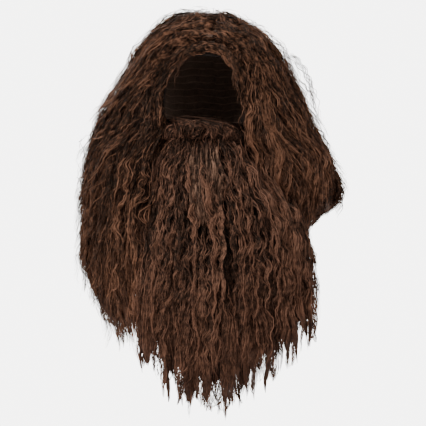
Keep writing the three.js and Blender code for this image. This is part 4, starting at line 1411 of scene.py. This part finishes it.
def wisp_batch(rng, start, end, bulge, count, width, spread):
    """A few strands along one bent line, given by its ends and how far its middle stands off."""
    start, end = np.array(start), np.array(end)
    length = np.linalg.norm(end - start)
    part = np.linspace(0, 1, int(length / STEP) + 3)
    along = (end - start) / length
    side = np.array([along[2], 0.0, -along[0]])
    own = rng.normal(0, spread, (count, 2))
    turn = rng.uniform(0, 0.9, count)[:, None] + TURN * part * length / CURL_PITCH
    together = 1 - 0.6 * part
    sideways = bulge * np.sin(part * math.pi) + own[:, :1] * together + CURL_SIZE * np.sin(turn)
    depth = own[:, 1:] * together + CURL_SIZE * np.cos(turn)
    reach = rng.uniform(0.7, 1.03, count)[:, None] * part
    points = start + (end - start) * reach[..., None] + side * sideways[..., None]
    points[..., 1] += depth
    normals = np.zeros_like(points) + np.array([0.0, -1.0, 0.0])
    # Each strand's own tone, plus painted highlights and shade that rise and fall with the curl's turn.
    shade = 0.35 + rng.normal(0, 0.15, count)[:, None] + 0.1 * np.sin(turn)
    twist = rng.uniform(-0.4, 0.4, count)[:, None] + 0 * part
    return points, normals, width * rng.uniform(0.6, 1.3, count), twist, shade, 0 * turn + part


WISPS = {  # each line's start, end, bulge, strands, width and spread
    ("left_wisps", 52, "hair_left"): (
        ((-0.158, 0.0, -0.16), (-0.211, -0.01, -0.285), 0.008, 11, 0.001, 0.004),
        ((-0.168, 0.01, -0.185), (-0.204, 0.0, -0.262), -0.006, 9, 0.0009, 0.004),
        ((-0.18, 0.0, -0.28), (-0.214, -0.01, -0.342), 0.004, 10, 0.001, 0.003),
        ((-0.18, -0.02, -0.31), (-0.209, -0.02, -0.376), 0.004, 9, 0.001, 0.003),
        ((-0.09, 0.0, -0.022), (-0.084, 0.0, 0.008), 0.012, 3, 0.0009, 0.001),
    ),
    ("right_wisps", 53, "hair_right"): (
        ((0.118, 0.0, -0.05), (0.158, 0.0, -0.135), -0.01, 8, 0.0008, 0.004),
        ((0.135, 0.0, -0.09), (0.168, 0.0, -0.165), -0.006, 8, 0.0008, 0.004),
        ((0.158, 0.0, -0.165), (0.178, 0.0, -0.22), -0.008, 5, 0.001, 0.002),
        ((0.182, -0.02, -0.235), (0.19, -0.02, -0.305), -0.012, 12, 0.001, 0.003),
    ),
    ("brow_wisps", 54, "fringe"): (
        ((0.012, -0.12, -0.048), (0.036, -0.118, -0.134), -0.008, 7, 0.0009, 0.0015),
        ((0.022, -0.12, -0.056), (0.026, -0.118, -0.115), -0.006, 5, 0.0009, 0.0015),
        ((-0.03, -0.11, -0.046), (-0.066, -0.106, -0.12), 0.005, 3, 0.0007, 0.002),
    ),
}
for (name, seed, node), lines in WISPS.items():
    rng = np.random.default_rng(seed)
    strand_piece(name, [wisp_batch(rng, *line) for line in lines], [node], wig_fibre)

# %% Count the triangles and finish
counts = {piece.name: sum(len(p.vertices) - 2 for p in piece.data.polygons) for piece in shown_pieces()}
print("triangles", sum(counts.values()), "most in one piece", max(counts.values()))
